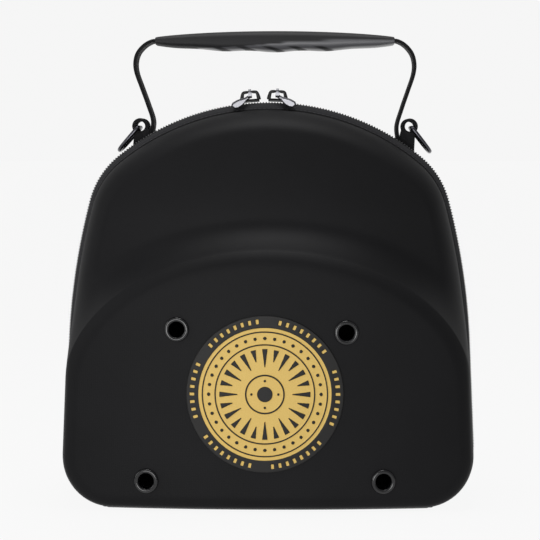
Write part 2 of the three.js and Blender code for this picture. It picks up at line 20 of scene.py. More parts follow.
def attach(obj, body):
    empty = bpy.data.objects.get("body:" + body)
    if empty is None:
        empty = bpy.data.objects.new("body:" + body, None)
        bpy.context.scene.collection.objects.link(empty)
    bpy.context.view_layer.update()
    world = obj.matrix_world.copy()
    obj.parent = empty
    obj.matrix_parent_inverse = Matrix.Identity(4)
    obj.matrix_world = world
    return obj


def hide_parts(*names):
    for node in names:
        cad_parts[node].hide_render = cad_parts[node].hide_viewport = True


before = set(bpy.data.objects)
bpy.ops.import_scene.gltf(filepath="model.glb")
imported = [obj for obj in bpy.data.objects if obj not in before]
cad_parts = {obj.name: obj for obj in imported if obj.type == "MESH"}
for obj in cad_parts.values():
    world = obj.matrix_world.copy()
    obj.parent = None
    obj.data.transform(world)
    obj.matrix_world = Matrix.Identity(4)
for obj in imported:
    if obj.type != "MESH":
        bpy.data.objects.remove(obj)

MM = 0.001
ZIP_PLANE = 13.75
log = logging.getLogger("carrier_case")

Point = tuple[float, float]
Spot = Callable[[float, float], Vector]
Net = bmesh.types.BMesh
Tree = bpy.types.NodeTree
Socket = bpy.types.NodeSocket


class Side(Enum):
    """Side of the case seen from the front."""

    LEFT = -1
    RIGHT = 1


class Half(Enum):
    """Half of the case, by the direction it bulges in."""

    FRONT = -1
    BACK = 1


def linear(code: str) -> tuple[float, float, float, float]:
    """Turn an sRGB hex colour into linear light.

    Args:
        code: The colour as "#rrggbb".

    Returns:
        Red, green, blue and an alpha of 1.
    """
    parts = [int(code[i : i + 2], 16) / 255 for i in (1, 3, 5)]
    red, green, blue = (c / 12.92 if c <= 0.04045 else ((c + 0.055) / 1.055) ** 2.4 for c in parts)
    return red, green, blue, 1.0


def add_node(tree: Tree, kind: str, inputs: dict | None = None, **settings: object) -> bpy.types.Node:
    """Add a shader node with its settings and links.

    Args:
        tree: The node tree that gets the node.
        kind: The node's type, without the ShaderNode in front.
        inputs: Values or output sockets for the inputs, by name or number.
        **settings: Properties of the node itself.

    Returns:
        The new node.
    """
    node = tree.nodes.new(f"ShaderNode{kind}")
    for key, value in settings.items():
        setattr(node, key, value)
    for key, value in (inputs or {}).items():
        if isinstance(value, Socket):
            tree.links.new(value, node.inputs[key])
        else:
            node.inputs[key].default_value = value
    return node
def math_node(tree: Tree, operation: str, *values: object, **settings: object) -> Socket:
    """Result of a sum on numbers or sockets."""
    return add_node(tree, "Math", dict(enumerate(values)), operation=operation, **settings).outputs[0]


def map_range(tree: Tree, value: Socket, low: object, high: object, start: float = 0, end: float = 1) -> Socket:
    """Value carried from the range between start and end to the one between low and high."""
    return add_node(tree, "MapRange", {0: value, 1: start, 2: end, 3: low, 4: high}).outputs[0]


def noise(tree: Tree, place: Socket, scale: float, detail: float) -> Socket:
    """Noise at a place, finer with a larger scale."""
    return add_node(tree, "TexNoise", {"Vector": place, "Scale": scale, "Detail": detail}).outputs[0]


def mix(tree: Tree, share: Socket, first: str | Socket, second: str | Socket) -> Socket:
    """Blend of two colours, each a hex code or a socket."""
    ends = {i: linear(end) if isinstance(end, str) else end for i, end in ((6, first), (7, second))}
    return add_node(tree, "Mix", {0: share, **ends}, data_type="RGBA").outputs[2]


def turned(degrees: float, axis: str) -> Matrix:
    """Turn about an axis."""
    return Matrix.Rotation(math.radians(degrees), 4, axis)


def cap_ends(bm: Net) -> None:
    """Close the open ends of a net."""
    bmesh.ops.holes_fill(bm, edges=[edge for edge in bm.edges if edge.is_boundary], sides=0)


def bevel_sharp(bm: Net, angle: float, offset: float, segments: int, clamped: bool = True) -> None:
    """Bevel the edges that turn by more than an angle in radians."""
    edges = [edge for edge in bm.edges if edge.calc_face_angle(0) > angle]
    shape = {"offset": offset, "segments": segments, "profile": 0.5, "clamp_overlap": clamped}
    bmesh.ops.bevel(bm, geom=edges, affect="EDGES", material=-1, **shape)


def add_object(name: str, data: bpy.types.ID) -> bpy.types.Object:
    """Put an object that holds this data in the scene."""
    thing = bpy.data.objects.new(name, data)
    bpy.context.scene.collection.objects.link(thing)
    return thing


def mesh_object(name: str, bm: Net) -> bpy.types.Object:
    """Make an object of a mesh, moved from millimetres round the zip plane into the frame, and free the mesh.

    Args:
        name: The object's name.
        bm: The mesh.

    Returns:
        The object.
    """
    bmesh.ops.translate(bm, verts=bm.verts, vec=(0, ZIP_PLANE, 0))
    bmesh.ops.scale(bm, verts=bm.verts, vec=(MM, MM, MM))
    mesh = bpy.data.meshes.new(name)
    bm.to_mesh(mesh)
    bm.free()
    return add_object(name, mesh)

def clamp(value: float, low: float = 0.0, high: float = 1.0) -> float:
    """Keep a value between two limits."""
    return min(max(value, low), high)


def ease(value: float) -> float:
    """Smooth step from 0 to 1 over the same range."""
    share = clamp(value)
    return share * share * (3 - 2 * share)


def polar(centre: Point, radius: float, degrees: float) -> Point:
    """Point at an angle from the vertical, seen from the front."""
    turn = math.radians(degrees)
    return centre[0] + radius * math.sin(turn), centre[1] + radius * math.cos(turn)


def sag(x: float, radius: float) -> float:
    """Depth that an arc falls back at a distance from its middle."""
    return radius - math.sqrt(radius * radius - x * x)


def round_off(inside: float, width: float, power: float) -> float:
    """Share of the full depth at a distance inside an edge: a superellipse quarter as wide as width."""
    left = 1 - clamp(inside / width)
    return (1 - left**power) ** (1 / power)


@dataclass(frozen=True)
class Station:
    """Place on a path that a section is carried along."""

    origin: Vector
    side: Vector
    out: Vector
    grow: Point = (1.0, 1.0)
    lift: Point = (0.0, 1.0)

    def at(self, point: Point) -> Vector:
        """Place of a point of the section, which the lift stretches over its first millimetres."""
        out = point[1] * self.grow[1] + self.lift[0] * min(point[1] / self.lift[1], 1)
        return self.origin + self.side * (point[0] * self.grow[0]) + self.out * out


def lengths(points: Sequence[Vector]) -> list[float]:
    """Length along a line of points, up to each of them."""
    total = [0.0]
    for first, second in pairwise(points):
        total.append(total[-1] + (second - first).length)
    return total


def net(across: int, along: int, spot: Spot, size: Spot | None = None) -> Net:
    """Make a net from a grid whose points are moved by a formula.

    Args:
        across: Number of faces in the first direction.
        along: Number of faces in the second direction.
        spot: Place of a point in millimetres, from its two shares from 0 to 1.
        size: Place of a point in the surface's own map in millimetres, from the same shares.

    Returns:
        The net, with its doubles merged, so that seams and poles are closed.
    """
    bm = bmesh.new()
    surface = bm.loops.layers.uv.new("surface")
    bmesh.ops.create_grid(bm, x_segments=across, y_segments=along, size=1.0)
    reach = max(vert.co.x for vert in bm.verts)
    shares = {vert: (vert.co.x / reach / 2 + 0.5, vert.co.y / reach / 2 + 0.5) for vert in bm.verts}
    if size:
        laid = {vert: size(*share).xy for vert, share in shares.items()}
        for face in bm.faces:
            for loop in face.loops:
                loop[surface].uv = laid[loop.vert]
    for vert, share in shares.items():
        vert.co = spot(*share)
    bmesh.ops.remove_doubles(bm, verts=bm.verts, dist=1e-4)
    return bm


def sweep(section: Sequence[Point], path: Sequence[Station], closed: bool = False) -> Net:
    """Carry a closed section along a path.

    Args:
        section: Points of the section in millimetres, once round.
        path: Stations along the path.
        closed: Whether the path's end joins its start; open ends are capped.

    Returns:
        A closed body whose map has the length along the path and round the section.
    """
    ring = [*section, section[0]]
    stations = [*path, path[0]] if closed else list(path)
    along = lengths([station.origin for station in stations])
    around = lengths([Vector((*point, 0)) for point in ring])
    steps, sides = len(stations) - 1, len(ring) - 1
    body = net(
        steps,
        sides,
        lambda u, v: stations[round(u * steps)].at(ring[round(v * sides)]),
        lambda u, v: Vector((along[round(u * steps)], around[round(v * sides)], 0)),
    )
    if not closed:
        cap_ends(body)
    return body


def rounded_section(width: float, height: float, radius: float, steps: int = 3) -> list[Point]:
    """Rectangle with rounded corners, once round."""
    corners = [(1, 1, 0), (-1, 1, 90), (-1, -1, 180), (1, -1, 270)]
    points = []
    for across, up, start in corners:
        centre = (across * (width / 2 - radius), up * (height / 2 - radius))
        for step in range(steps + 1):
            turn = math.radians(start + 90 * step / steps)
            points.append((centre[0] + radius * math.cos(turn), centre[1] + radius * math.sin(turn)))
    return points


def round_section(radius: float, sides: int = 16) -> list[Point]:
    """Circle, once round."""
    turns = [2 * math.pi * side / sides for side in range(sides)]
    return [(radius * math.cos(turn), radius * math.sin(turn)) for turn in turns]


def smooth_line(points: Sequence[Point], per_span: int = 8) -> list[Point]:
    """Even line through a few points, by centripetal Catmull-Rom.

    Args:
        points: Points that the line passes through.
        per_span: Number of steps between two of them.

    Returns:
        The points of the line.
    """
    knots = [Vector(point) for point in points]
    knots = [2 * knots[0] - knots[1], *knots, 2 * knots[-1] - knots[-2]]
    line = []
    for p0, p1, p2, p3 in zip(knots, knots[1:], knots[2:], knots[3:]):
        times = [0.0]
        for first, second in pairwise((p0, p1, p2, p3)):
            times.append(times[-1] + max((second - first).length, 1e-6) ** 0.5)
        t0, t1, t2, t3 = times
        for step in range(per_span):
            t = t1 + (t2 - t1) * step / per_span
            a1 = p0.lerp(p1, (t - t0) / (t1 - t0))
            a2 = p1.lerp(p2, (t - t1) / (t2 - t1))
            a3 = p2.lerp(p3, (t - t2) / (t3 - t2))
            b1 = a1.lerp(a2, (t - t0) / (t2 - t0))
            b2 = a2.lerp(a3, (t - t1) / (t3 - t1))
            line.append(tuple(b1.lerp(b2, (t - t1) / (t2 - t1))))
    return [*line, tuple(knots[-2])]


def flat_path(points: Sequence[Point]) -> list[Station]:
    """Stations along a line in the plane seen from the front, with the section's width along Y.

    Args:
        points: Points of the line as x and z.

    Returns:
        A station for each point.
    """
    path = []
    for i, (x, z) in enumerate(points):
        before, after = points[max(i - 1, 0)], points[min(i + 1, len(points) - 1)]
        step = Vector((after[0] - before[0], 0, after[1] - before[1])).normalized()
        path.append(Station(Vector((x, 0, z)), Vector((0, 1, 0)), Vector((-step.z, 0, step.x))))
    return path


def beads(places: Sequence[Matrix], sides: int = 6, rings: int = 4) -> Net:
    """Small round beads, each stretched and turned by its own matrix."""
    bm = bmesh.new()
    for place in places:
        bmesh.ops.create_uvsphere(bm, u_segments=sides, v_segments=rings, radius=1.0, matrix=place)
    return bm


# Finishes. Each is named for the real material and the way its surface was made.


@dataclass(frozen=True)
class Finish:
    """Material of one kind of surface."""

    name: str
    slot: str
    main: str
    accent: str
    roughness: float
    ior: float = 1.5
    metallic: float = 0.0
    sheen: float = 0.0
    coat: float = 0.0
    specular: float = 0.5
    depth: float = 0.06

    def material(self) -> bpy.types.Material:
        """Build the material's nodes.

        Returns:
            The material.
        """
        material = bpy.data.materials.new(self.name)
        material.use_nodes = True
        tree = material.node_tree
        tree.nodes.clear()
        shader = add_node(tree, "BsdfPrincipled", {"Metallic": self.metallic, "IOR": self.ior})
        shader.inputs["Roughness"].default_value = self.roughness
        shader.inputs["Specular IOR Level"].default_value = self.specular
        shader.inputs["Sheen Weight"].default_value = self.sheen
        shader.inputs["Sheen Roughness"].default_value = 0.45
        shader.inputs["Coat Weight"].default_value = self.coat
        shader.inputs["Coat Roughness"].default_value = 0.12
        add_node(tree, "OutputMaterial", {"Surface": shader.outputs["BSDF"]})
        self.detail(tree, shader)
        material.diffuse_color = linear(self.main)
        return material

    def detail(self, tree: Tree, shader: bpy.types.Node) -> None:
        """Add the pattern of this kind of surface.

        Args:
            tree: The material's nodes.
            shader: Its surface shader.
        """
        raise NotImplementedError

    def vary(self, tree: Tree, value: Socket, spread: float) -> Socket:
        """Roughness that varies a little on both sides of the finish's own."""
        return map_range(tree, value, max(self.roughness - spread, 0.02), self.roughness + spread)

    def connect(
        self,
        tree: Tree,
        shader: bpy.types.Node,
        colour: Socket,
        height: Socket,
        strength: float | Socket,
        rough: Socket | None = None,
    ) -> None:
        """Link the pattern to the shader.

        Args:
            tree: The material's nodes.
            shader: Its surface shader.
            colour: The surface's colour.
            height: The height of its relief, from 0 to 1.
            strength: The strength of the relief.
            rough: The roughness, where it varies.
        """
        tree.links.new(colour, shader.inputs["Base Color"])
        if rough:
            tree.links.new(rough, shader.inputs["Roughness"])
        bump = add_node(tree, "Bump", {"Height": height, "Distance": self.depth * MM, "Strength": strength})
        tree.links.new(bump.outputs[0], shader.inputs["Normal"])


@dataclass(frozen=True)
class KnitFabric(Finish):
    """Fine polyester knit laminated to moulded foam: matte, with a faint diagonal grain and a soft nap."""

    # The real knit is about 0.5 mm, too fine to show, so it is drawn at 1.6 mm
    knit: float = 1.6
    nap: float = 0.7
    shading: float = 60.0
    depth: float = 0.12

    def detail(self, tree: Tree, shader: bpy.types.Node) -> None:
        """Add the diagonal grain, the nap and slow changes of tone.

        Args:
            tree: The material's nodes.
            shader: Its surface shader.
        """
        place = add_node(tree, "TexCoord").outputs["Object"]
        step = 0.7 * (2 * math.pi / (self.knit * MM))
        waves = []
        for up in (step, -step):
            along = add_node(tree, "VectorMath", {0: place, 1: (step, step, up)}, operation="DOT_PRODUCT")
            waves.append(math_node(tree, "SINE", along.outputs["Value"]))
        nap = noise(tree, place, 1 / (self.nap * MM), 3.0)
        slow = noise(tree, place, 1 / (self.shading * MM), 2.0)
        height = math_node(tree, "MULTIPLY_ADD", math_node(tree, "MULTIPLY", *waves), 0.16, nap)
        tone = map_range(tree, slow, -0.18, 0.18, 0.35, 0.65)
        share = math_node(tree, "ADD", height, tone, use_clamp=True)
        self.connect(tree, shader, mix(tree, share, self.main, self.accent), height, 0.7, self.vary(tree, nap, 0.08))


@dataclass(frozen=True)
class WovenTape(Finish):
    """Woven polyester tape or webbing: ribs along it, crossed by the weft, read from the piece's own map."""

    rib: float = 2.0
    weft: float = 1.4
    depth: float = 0.3
    # seam: places round the section past which the tape turns near black, as painted shade of the grooves by the
    # coil and the shell rim
    seam: tuple[float, float] | None = None

    def detail(self, tree: Tree, shader: bpy.types.Node) -> None:
        """Add the ribs, the weft, the fleck of the yarn and, where seam is given, painted shade along the tape's
        edges.

        Args:
            tree: The material's nodes.
            shader: Its surface shader.
        """
        laid = add_node(tree, "UVMap", uv_map="surface").outputs["UV"]
        parts = add_node(tree, "SeparateXYZ", {0: laid})
        waves = []
        for axis, pitch in ((0, self.weft), (1, self.rib)):
            turn = math_node(tree, "MULTIPLY", parts.outputs[axis], 2 * math.pi / pitch)
            waves.append(math_node(tree, "SINE", turn))
        ribs = math_node(tree, "MULTIPLY_ADD", waves[1], 0.5, math_node(tree, "MULTIPLY", *waves))
        height = math_node(tree, "MULTIPLY_ADD", ribs, 0.35, noise(tree, laid, 1.3, 3.0))
        colour = mix(tree, map_range(tree, height, 0.0, 1.0), self.main, self.accent)
        # Painted shade: the tape's edges, down in the grooves by the coil and the shell rim, turn near black.
        if self.seam:
            edges = [
                map_range(tree, parts.outputs[1], low, 1 - low, edge - 0.2, edge + 0.2)
                for edge, low in zip(self.seam, (1.0, 0.0))
            ]
            colour = mix(tree, math_node(tree, "ADD", *edges, use_clamp=True), colour, "#050506")
        self.connect(tree, shader, colour, height, 0.8)


@dataclass(frozen=True)
class MouldedRubber(Finish):
    """Moulded soft-touch rubber with a fine stipple, and a polished underside where the mould was glossy; there the
    colour turns a lighter grey, a painted reflection.
    """

    # Lighter grey on the polished underside: a painted reflection of its gloss.
    painted_reflection: str = "#5e5e61"
    stipple: float = 0.6
    polished: float = 0.14
    depth: float = 0.06

    def detail(self, tree: Tree, shader: bpy.types.Node) -> None:
        """Add the stipple, and the polished part with its painted reflection.

        Args:
            tree: The material's nodes.
            shader: Its surface shader.
        """
        place = add_node(tree, "TexCoord").outputs["Object"]
        shine = add_node(tree, "Attribute", attribute_name="shine").outputs["Fac"]
        grit = noise(tree, place, 1 / (self.stipple * MM), 2.0)
        wear = noise(tree, place, 1 / (18 * MM), 3.0)
        # Painted reflection: the polished underside turns a lighter grey.
        colour = mix(tree, shine, mix(tree, wear, self.main, self.accent), self.painted_reflection)
        rough = map_range(tree, shine, self.vary(tree, grit, 0.06), self.polished)
        self.connect(tree, shader, colour, grit, map_range(tree, shine, 0.8, 0.05), rough)


@dataclass(frozen=True)
class SmoothCast(Finish):
    """Smooth cast or moulded surface, with fine marks from handling and a slight orange peel."""

    marks: float = 1.2
    stretch: tuple[float, float, float] = (1.0, 1.0, 1.0)
    spread: float = 0.06
    depth: float = 0.02

    def detail(self, tree: Tree, shader: bpy.types.Node) -> None:
        """Add the handling marks and the orange peel.

        Args:
            tree: The material's nodes.
            shader: Its surface shader.
        """
        place = add_node(tree, "TexCoord").outputs["Object"]
        drawn = add_node(tree, "Mapping", {"Vector": place, "Scale": self.stretch}).outputs[0]
        marks = noise(tree, drawn, 1 / (self.marks * MM), 4.0)
        peel = noise(tree, place, 1 / (4 * MM), 2.0)
        colour = mix(tree, marks, self.main, self.accent)
        self.connect(tree, shader, colour, peel, 0.5, self.vary(tree, marks, self.spread))


@dataclass(frozen=True)
class InlaidRubber(Finish):
    """Moulded rubber badge in two colours, the dark one raised, with a faint satin grain."""

    ink: str = "#0e0d0c"
    grain: float = 0.8
    depth: float = 0.05

    def detail(self, tree: Tree, shader: bpy.types.Node) -> None:
        """Add the two colours and the grain.

        Args:
            tree: The material's nodes.
            shader: Its surface shader.
        """
        place = add_node(tree, "TexCoord").outputs["Object"]
        inked = add_node(tree, "Attribute", attribute_name="ink").outputs["Fac"]
        grain = noise(tree, place, 1 / (self.grain * MM), 3.0)
        plain = mix(tree, grain, self.main, self.accent)
        colour = mix(tree, map_range(tree, inked, 0.0, 1.0, 0.35, 0.65), plain, self.ink)
        self.connect(tree, shader, colour, grain, 0.5, self.vary(tree, grain, 0.08))


SHELL_KNIT = KnitFabric(
    "laminated_polyester_knit", "shell_fabric", "#0c0c0d", "#131315", 0.58, sheen=0.01, specular=0.12
)
CLOTH = {"sheen": 0.04, "specular": 0.2}
# The zip tape's seam values paint shade along its edges, in the grooves by the coil and the shell rim.
ZIP_TAPE = WovenTape(
    "woven_polyester_zip_tape", "zip_tape", "#1b1b1c", "#2b2b2e", 0.8, rib=1.5, weft=1.1, seam=(0.7, 5.3), **CLOTH
)
HINGE_TAPE = WovenTape("woven_polyester_hinge_tape", "zip_tape", "#121213", "#232325", 0.8, **CLOTH)
ZIP_COIL = SmoothCast("drawn_nylon_coil", "zip_coil", "#070708", "#0e0e0f", 0.4, ior=1.53)
# Teeth: the coil cord's nylon coloured lighter, a painted highlight so that the bead tops read as light dots.
ZIP_TEETH_PAINTED_HIGHLIGHT = SmoothCast("nylon_coil_painted_highlight", "zip_coil", "#1e1e20", "#303033", 0.34, ior=1.53)
SLIDER_METAL = SmoothCast(
    "black_painted_zinc_casting", "black_metal", "#070708", "#0e0e0f", 0.34, coat=0.08, specular=0.22
)
PULL_METAL = SmoothCast(
    "nickel_plated_zinc_casting", "gunmetal", "#5e5e61", "#747478", 0.36, metallic=1.0, marks=0.5, stretch=(1, 1, 5)
)
RING_METAL = SmoothCast(
    "dark_nickel_plated_wire", "gunmetal", "#3a3a3d", "#54545a", 0.28, metallic=1.0, marks=0.6, stretch=(1, 1, 4)
)
GRIP_RUBBER = MouldedRubber(
    "moulded_thermoplastic_rubber", "grip_rubber", "#1a1a1b", "#212123", 0.62, polished=0.3, specular=0.3
)
WEBBING = WovenTape("woven_polypropylene_webbing", "webbing", "#070708", "#1a1a1c", 0.72, sheen=0.03, specular=0.2)
EYELET_PLASTIC = SmoothCast("injection_moulded_acetal", "eyelet_plastic", "#08080a", "#111113", 0.16, ior=1.48)
BADGE_RUBBER = InlaidRubber("two_colour_moulded_rubber", "badge_rubber", "#cba954", "#e0bf70", 0.52, specular=0.25)
THREAD = WovenTape("bonded_nylon_thread", "webbing", "#1c1c1d", "#343437", 0.6, rib=0.8, weft=0.8, depth=0.08)


@dataclass
class Workshop:
    """Turns finished meshes into pieces on the frame, and holds the materials made so far."""

    made: dict[str, bpy.types.Material] = field(default_factory=dict)

    def material(self, finish: Finish) -> bpy.types.Material:
        """Material of a finish, made once."""
        if finish.name not in self.made:
            self.made[finish.name] = finish.material()
        return self.made[finish.name]

    def piece(
        self,
        name: str,
        bm: Net,
        finish: Finish,
        body: str,
        nodes: Sequence[str] = (),
        sharp: float = 35.0,
    ) -> bpy.types.Object:
        """Make a mesh a piece of the object.

        Args:
            name: The piece's name.
            bm: Its shape in millimetres from the zip plane.
            finish: Its finish.
            body: The body of the frame that it rides on.
            nodes: The nodes of the frame that it stands for.
            sharp: Angle in degrees past which an edge is drawn sharp.

        Returns:
            The piece.
        """
        bmesh.ops.recalc_face_normals(bm, faces=bm.faces)
        piece = mesh_object(name, bm)
        mesh = piece.data
        mesh.shade_smooth()
        mesh.set_sharp_from_angle(angle=math.radians(sharp))
        mesh.materials.append(self.material(finish))
        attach(piece, body)
        if nodes:
            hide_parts(*nodes)
        log.info("%s: %d faces", name, len(mesh.polygons))
        return piece


@dataclass(frozen=True)
class Rim:
    """Point of an outline with its outward direction, and how far it is raised over the outline."""

    x: float
    z: float
    nx: float
    nz: float
    rise: float = 0.0


@dataclass(frozen=True)
class Outline:
    """Outline of the zip crest seen from the front: tangent arcs and straight, leaning sides."""

    crest_height: float = 287
    zip_rise: float = 2.8
    top_radius: float = 175
    top_sweep: float = 39
    shoulder_radius: float = 62
    shoulder_sweep: float = 75
    side_radius: float = 480
    side_lean: float = 2.5
    corner_radius: float = 36
    rim_inset: float = 4
    pole: float = 84
    steps: tuple[int, ...] = (26, 18, 12, 26, 30, 44)

    @cached_property
    def top_centre(self) -> Point:
        """Centre of the top arc."""
        return 0, self.crest_height - self.zip_rise - self.top_radius

    @cached_property
    def shoulder_centre(self) -> Point:
        """Centre of the right shoulder's arc."""
        return polar(self.top_centre, self.top_radius - self.shoulder_radius, self.top_sweep)

    @cached_property
    def side_centre(self) -> Point:
        """Centre of the right side's arc."""
        return polar(self.shoulder_centre, self.shoulder_radius - self.side_radius, self.shoulder_sweep)

    @cached_property
    def side_normal(self) -> Point:
        """Outward direction of the right side's straight part."""
        return math.cos(math.radians(self.side_lean)), math.sin(math.radians(self.side_lean))

    @cached_property
    def side_reach(self) -> float:
        """Distance of the straight part from the origin, along its outward direction."""
        x, z = self.side_centre
        return x * self.side_normal[0] + z * self.side_normal[1] + self.side_radius

    @cached_property
    def half_width(self) -> float:
        """Half of the width over the zip crest, at the height of the pole."""
        return (self.side_reach - self.pole * self.side_normal[1]) / self.side_normal[0]

    @cached_property
    def corner_centre(self) -> Point:
        """Centre of the lower right corner's arc."""
        reach = self.side_reach - self.rim_inset - self.corner_radius
        return (reach - self.corner_radius * self.side_normal[1]) / self.side_normal[0], self.corner_radius

    def half_line(self, inset: float) -> list[Rim]:
        """Right half of the outline at an inset, from the bottom centre to the top centre.

        Args:
            inset: Distance inside the crest.

        Returns:
            The points of the line.
        """
        bottom, corner_steps, side, flank, shoulder, top = self.steps
        radius = self.rim_inset + self.corner_radius - inset
        corner, upright = self.corner_centre, 90 - self.side_lean
        line = [Rim(corner[0] * i / bottom, corner[1] - radius, 0, -1) for i in range(bottom)]

        def arc(centre: Point, reach: float, start: float, end: float, count: int) -> None:
            """Add an arc without its last point."""
            for i in range(count):
                angle = start + (end - start) * i / count
                turn = math.radians(angle)
                line.append(Rim(*polar(centre, reach, angle), math.sin(turn), math.cos(turn)))

        arc(corner, radius, 180, upright, corner_steps)
        low, high = polar(corner, radius, upright), polar(self.side_centre, self.side_radius - inset, upright)
        for i in range(side):
            x, z = (a + (b - a) * i / side for a, b in zip(low, high))
            line.append(Rim(x, z, *self.side_normal))
        arc(self.side_centre, self.side_radius - inset, upright, self.shoulder_sweep, flank)
        arc(self.shoulder_centre, self.shoulder_radius - inset, self.shoulder_sweep, self.top_sweep, shoulder)
        arc(self.top_centre, self.top_radius - inset, self.top_sweep, 0, top)
        return [*line, Rim(*polar(self.top_centre, self.top_radius - inset, 0), 0, 1)]

    def loop(self, inset: float) -> list[Rim]:
        """Whole outline once round: bottom centre, right side, top centre, left side."""
        right = self.half_line(inset)
        return [*right, *(Rim(-p.x, p.z, -p.nx, p.nz) for p in reversed(right[1:-1]))]

    def inset_at(self, x: float, z: float) -> float:
        """Distance of a point inside the crest.

        Args:
            x: Place across.
            z: Height.

        Returns:
            The distance in millimetres.
        """
        out, upright = abs(x), 90 - self.side_lean
        if self.angle(self.side_centre, out, z) > upright:
            if out > self.corner_centre[0] and self.angle(self.corner_centre, out, z) > upright:
                return self.rim_inset + self.corner_radius - math.dist((out, z), self.corner_centre)
            from_side = self.side_reach - out * self.side_normal[0] - z * self.side_normal[1]
            return min(from_side, z + self.rim_inset)
        if self.angle(self.top_centre, out, z) < self.top_sweep + 1e-3:
            return self.top_radius - math.dist((out, z), self.top_centre)
        angle = self.angle(self.shoulder_centre, out, z)
        if self.top_sweep - 1e-3 < angle < self.shoulder_sweep + 1e-3:
            return self.shoulder_radius - math.dist((out, z), self.shoulder_centre)
        return self.side_radius - math.dist((out, z), self.side_centre)

    @staticmethod
    def angle(centre: Point, x: float, z: float) -> float:
        """Angle from the vertical at which a point lies from a centre."""
        return math.degrees(math.atan2(x - centre[0], z - centre[1]))


@dataclass
class HalfShell:
    """Moulded half of the case, fabric outside and inside."""

    shop: Workshop
    outline: Outline
    half: Half
    wall: float = 3.2
    rim_from_zip: float = 10
    rim_round: float = 1.0
    base_flat: float = 1.2

    def depth(self, x: float, z: float, offset: float) -> float:
        """Distance of the surface from the zip plane."""
        raise NotImplementedError

    def crossing(self, rim: Rim, offset: float) -> Point:
        """Share of the way from the pole to the rim at the form's edge, and the share of a millimetre there."""
        raise NotImplementedError

    def spots(self, rim: Rim, offset: float, outer: Sequence[float], shoulder: Sequence[float], inner: int) -> list:
        """Points of one ray of the surface, from the rim to the pole.

        Args:
            rim: Where the ray starts.
            offset: Distance inside the outer skin.
            outer: Shares of the way from the rim to the form's edge.
            shoulder: Distances in millimetres inside the edge.
            inner: Number of steps from there to the pole.

        Returns:
            The points.
        """
        share, per_mm = self.crossing(rim, offset)
        last = share - shoulder[-1] * per_mm
        along = [1 - s * (1 - share) for s in outer] + [share - s * per_mm for s in shoulder[1:]]
        along += [last * (1 - step / inner) for step in range(1, inner + 1)]
        points = []
        for s in along:
            x, z = rim.x * s, self.outline.pole + (rim.z - self.outline.pole) * s
            deep = self.depth(x, z, offset)
            if not offset:
                deep = max(deep, self.rim_from_zip + self.rim_round)
                z = 0.0 if z < self.base_flat else z
            points.append(Vector((x, self.half.value * deep, z)))
        return points

    def body(self, rows: tuple, inner_rows: tuple) -> Net:
        """Closed shell: outer skin, rounded rim and inner skin as one net.

        Args:
            rows: Rows of the outer skin, as spots takes them.
            inner_rows: Rows of the inner skin.

        Returns:
            The shell.
        """
        rims = self.outline.loop(self.outline.rim_inset)
        inner_rims = self.outline.loop(self.outline.rim_inset + self.wall)
        rays = []
        for rim, inner_rim in zip(rims, inner_rims):
            ray = self.spots(rim, 0, *rows)[::-1]
            for step in range(1, 4):
                turn = math.radians(30 * step)
                inward = self.rim_round * (1 - math.cos(turn))
                deep = self.rim_from_zip + self.rim_round * (1 - math.sin(turn))
                spot = (rim.x - rim.nx * inward, self.half.value * deep, rim.z - rim.nz * inward)
                ray.append(Vector(spot))
            rays.append(ray + self.spots(inner_rim, self.wall, *inner_rows))
        count, length = len(rays), len(rays[0]) - 1
        return net(count, length, lambda u, v: rays[round(u * count) % count][round(v * length)].copy())


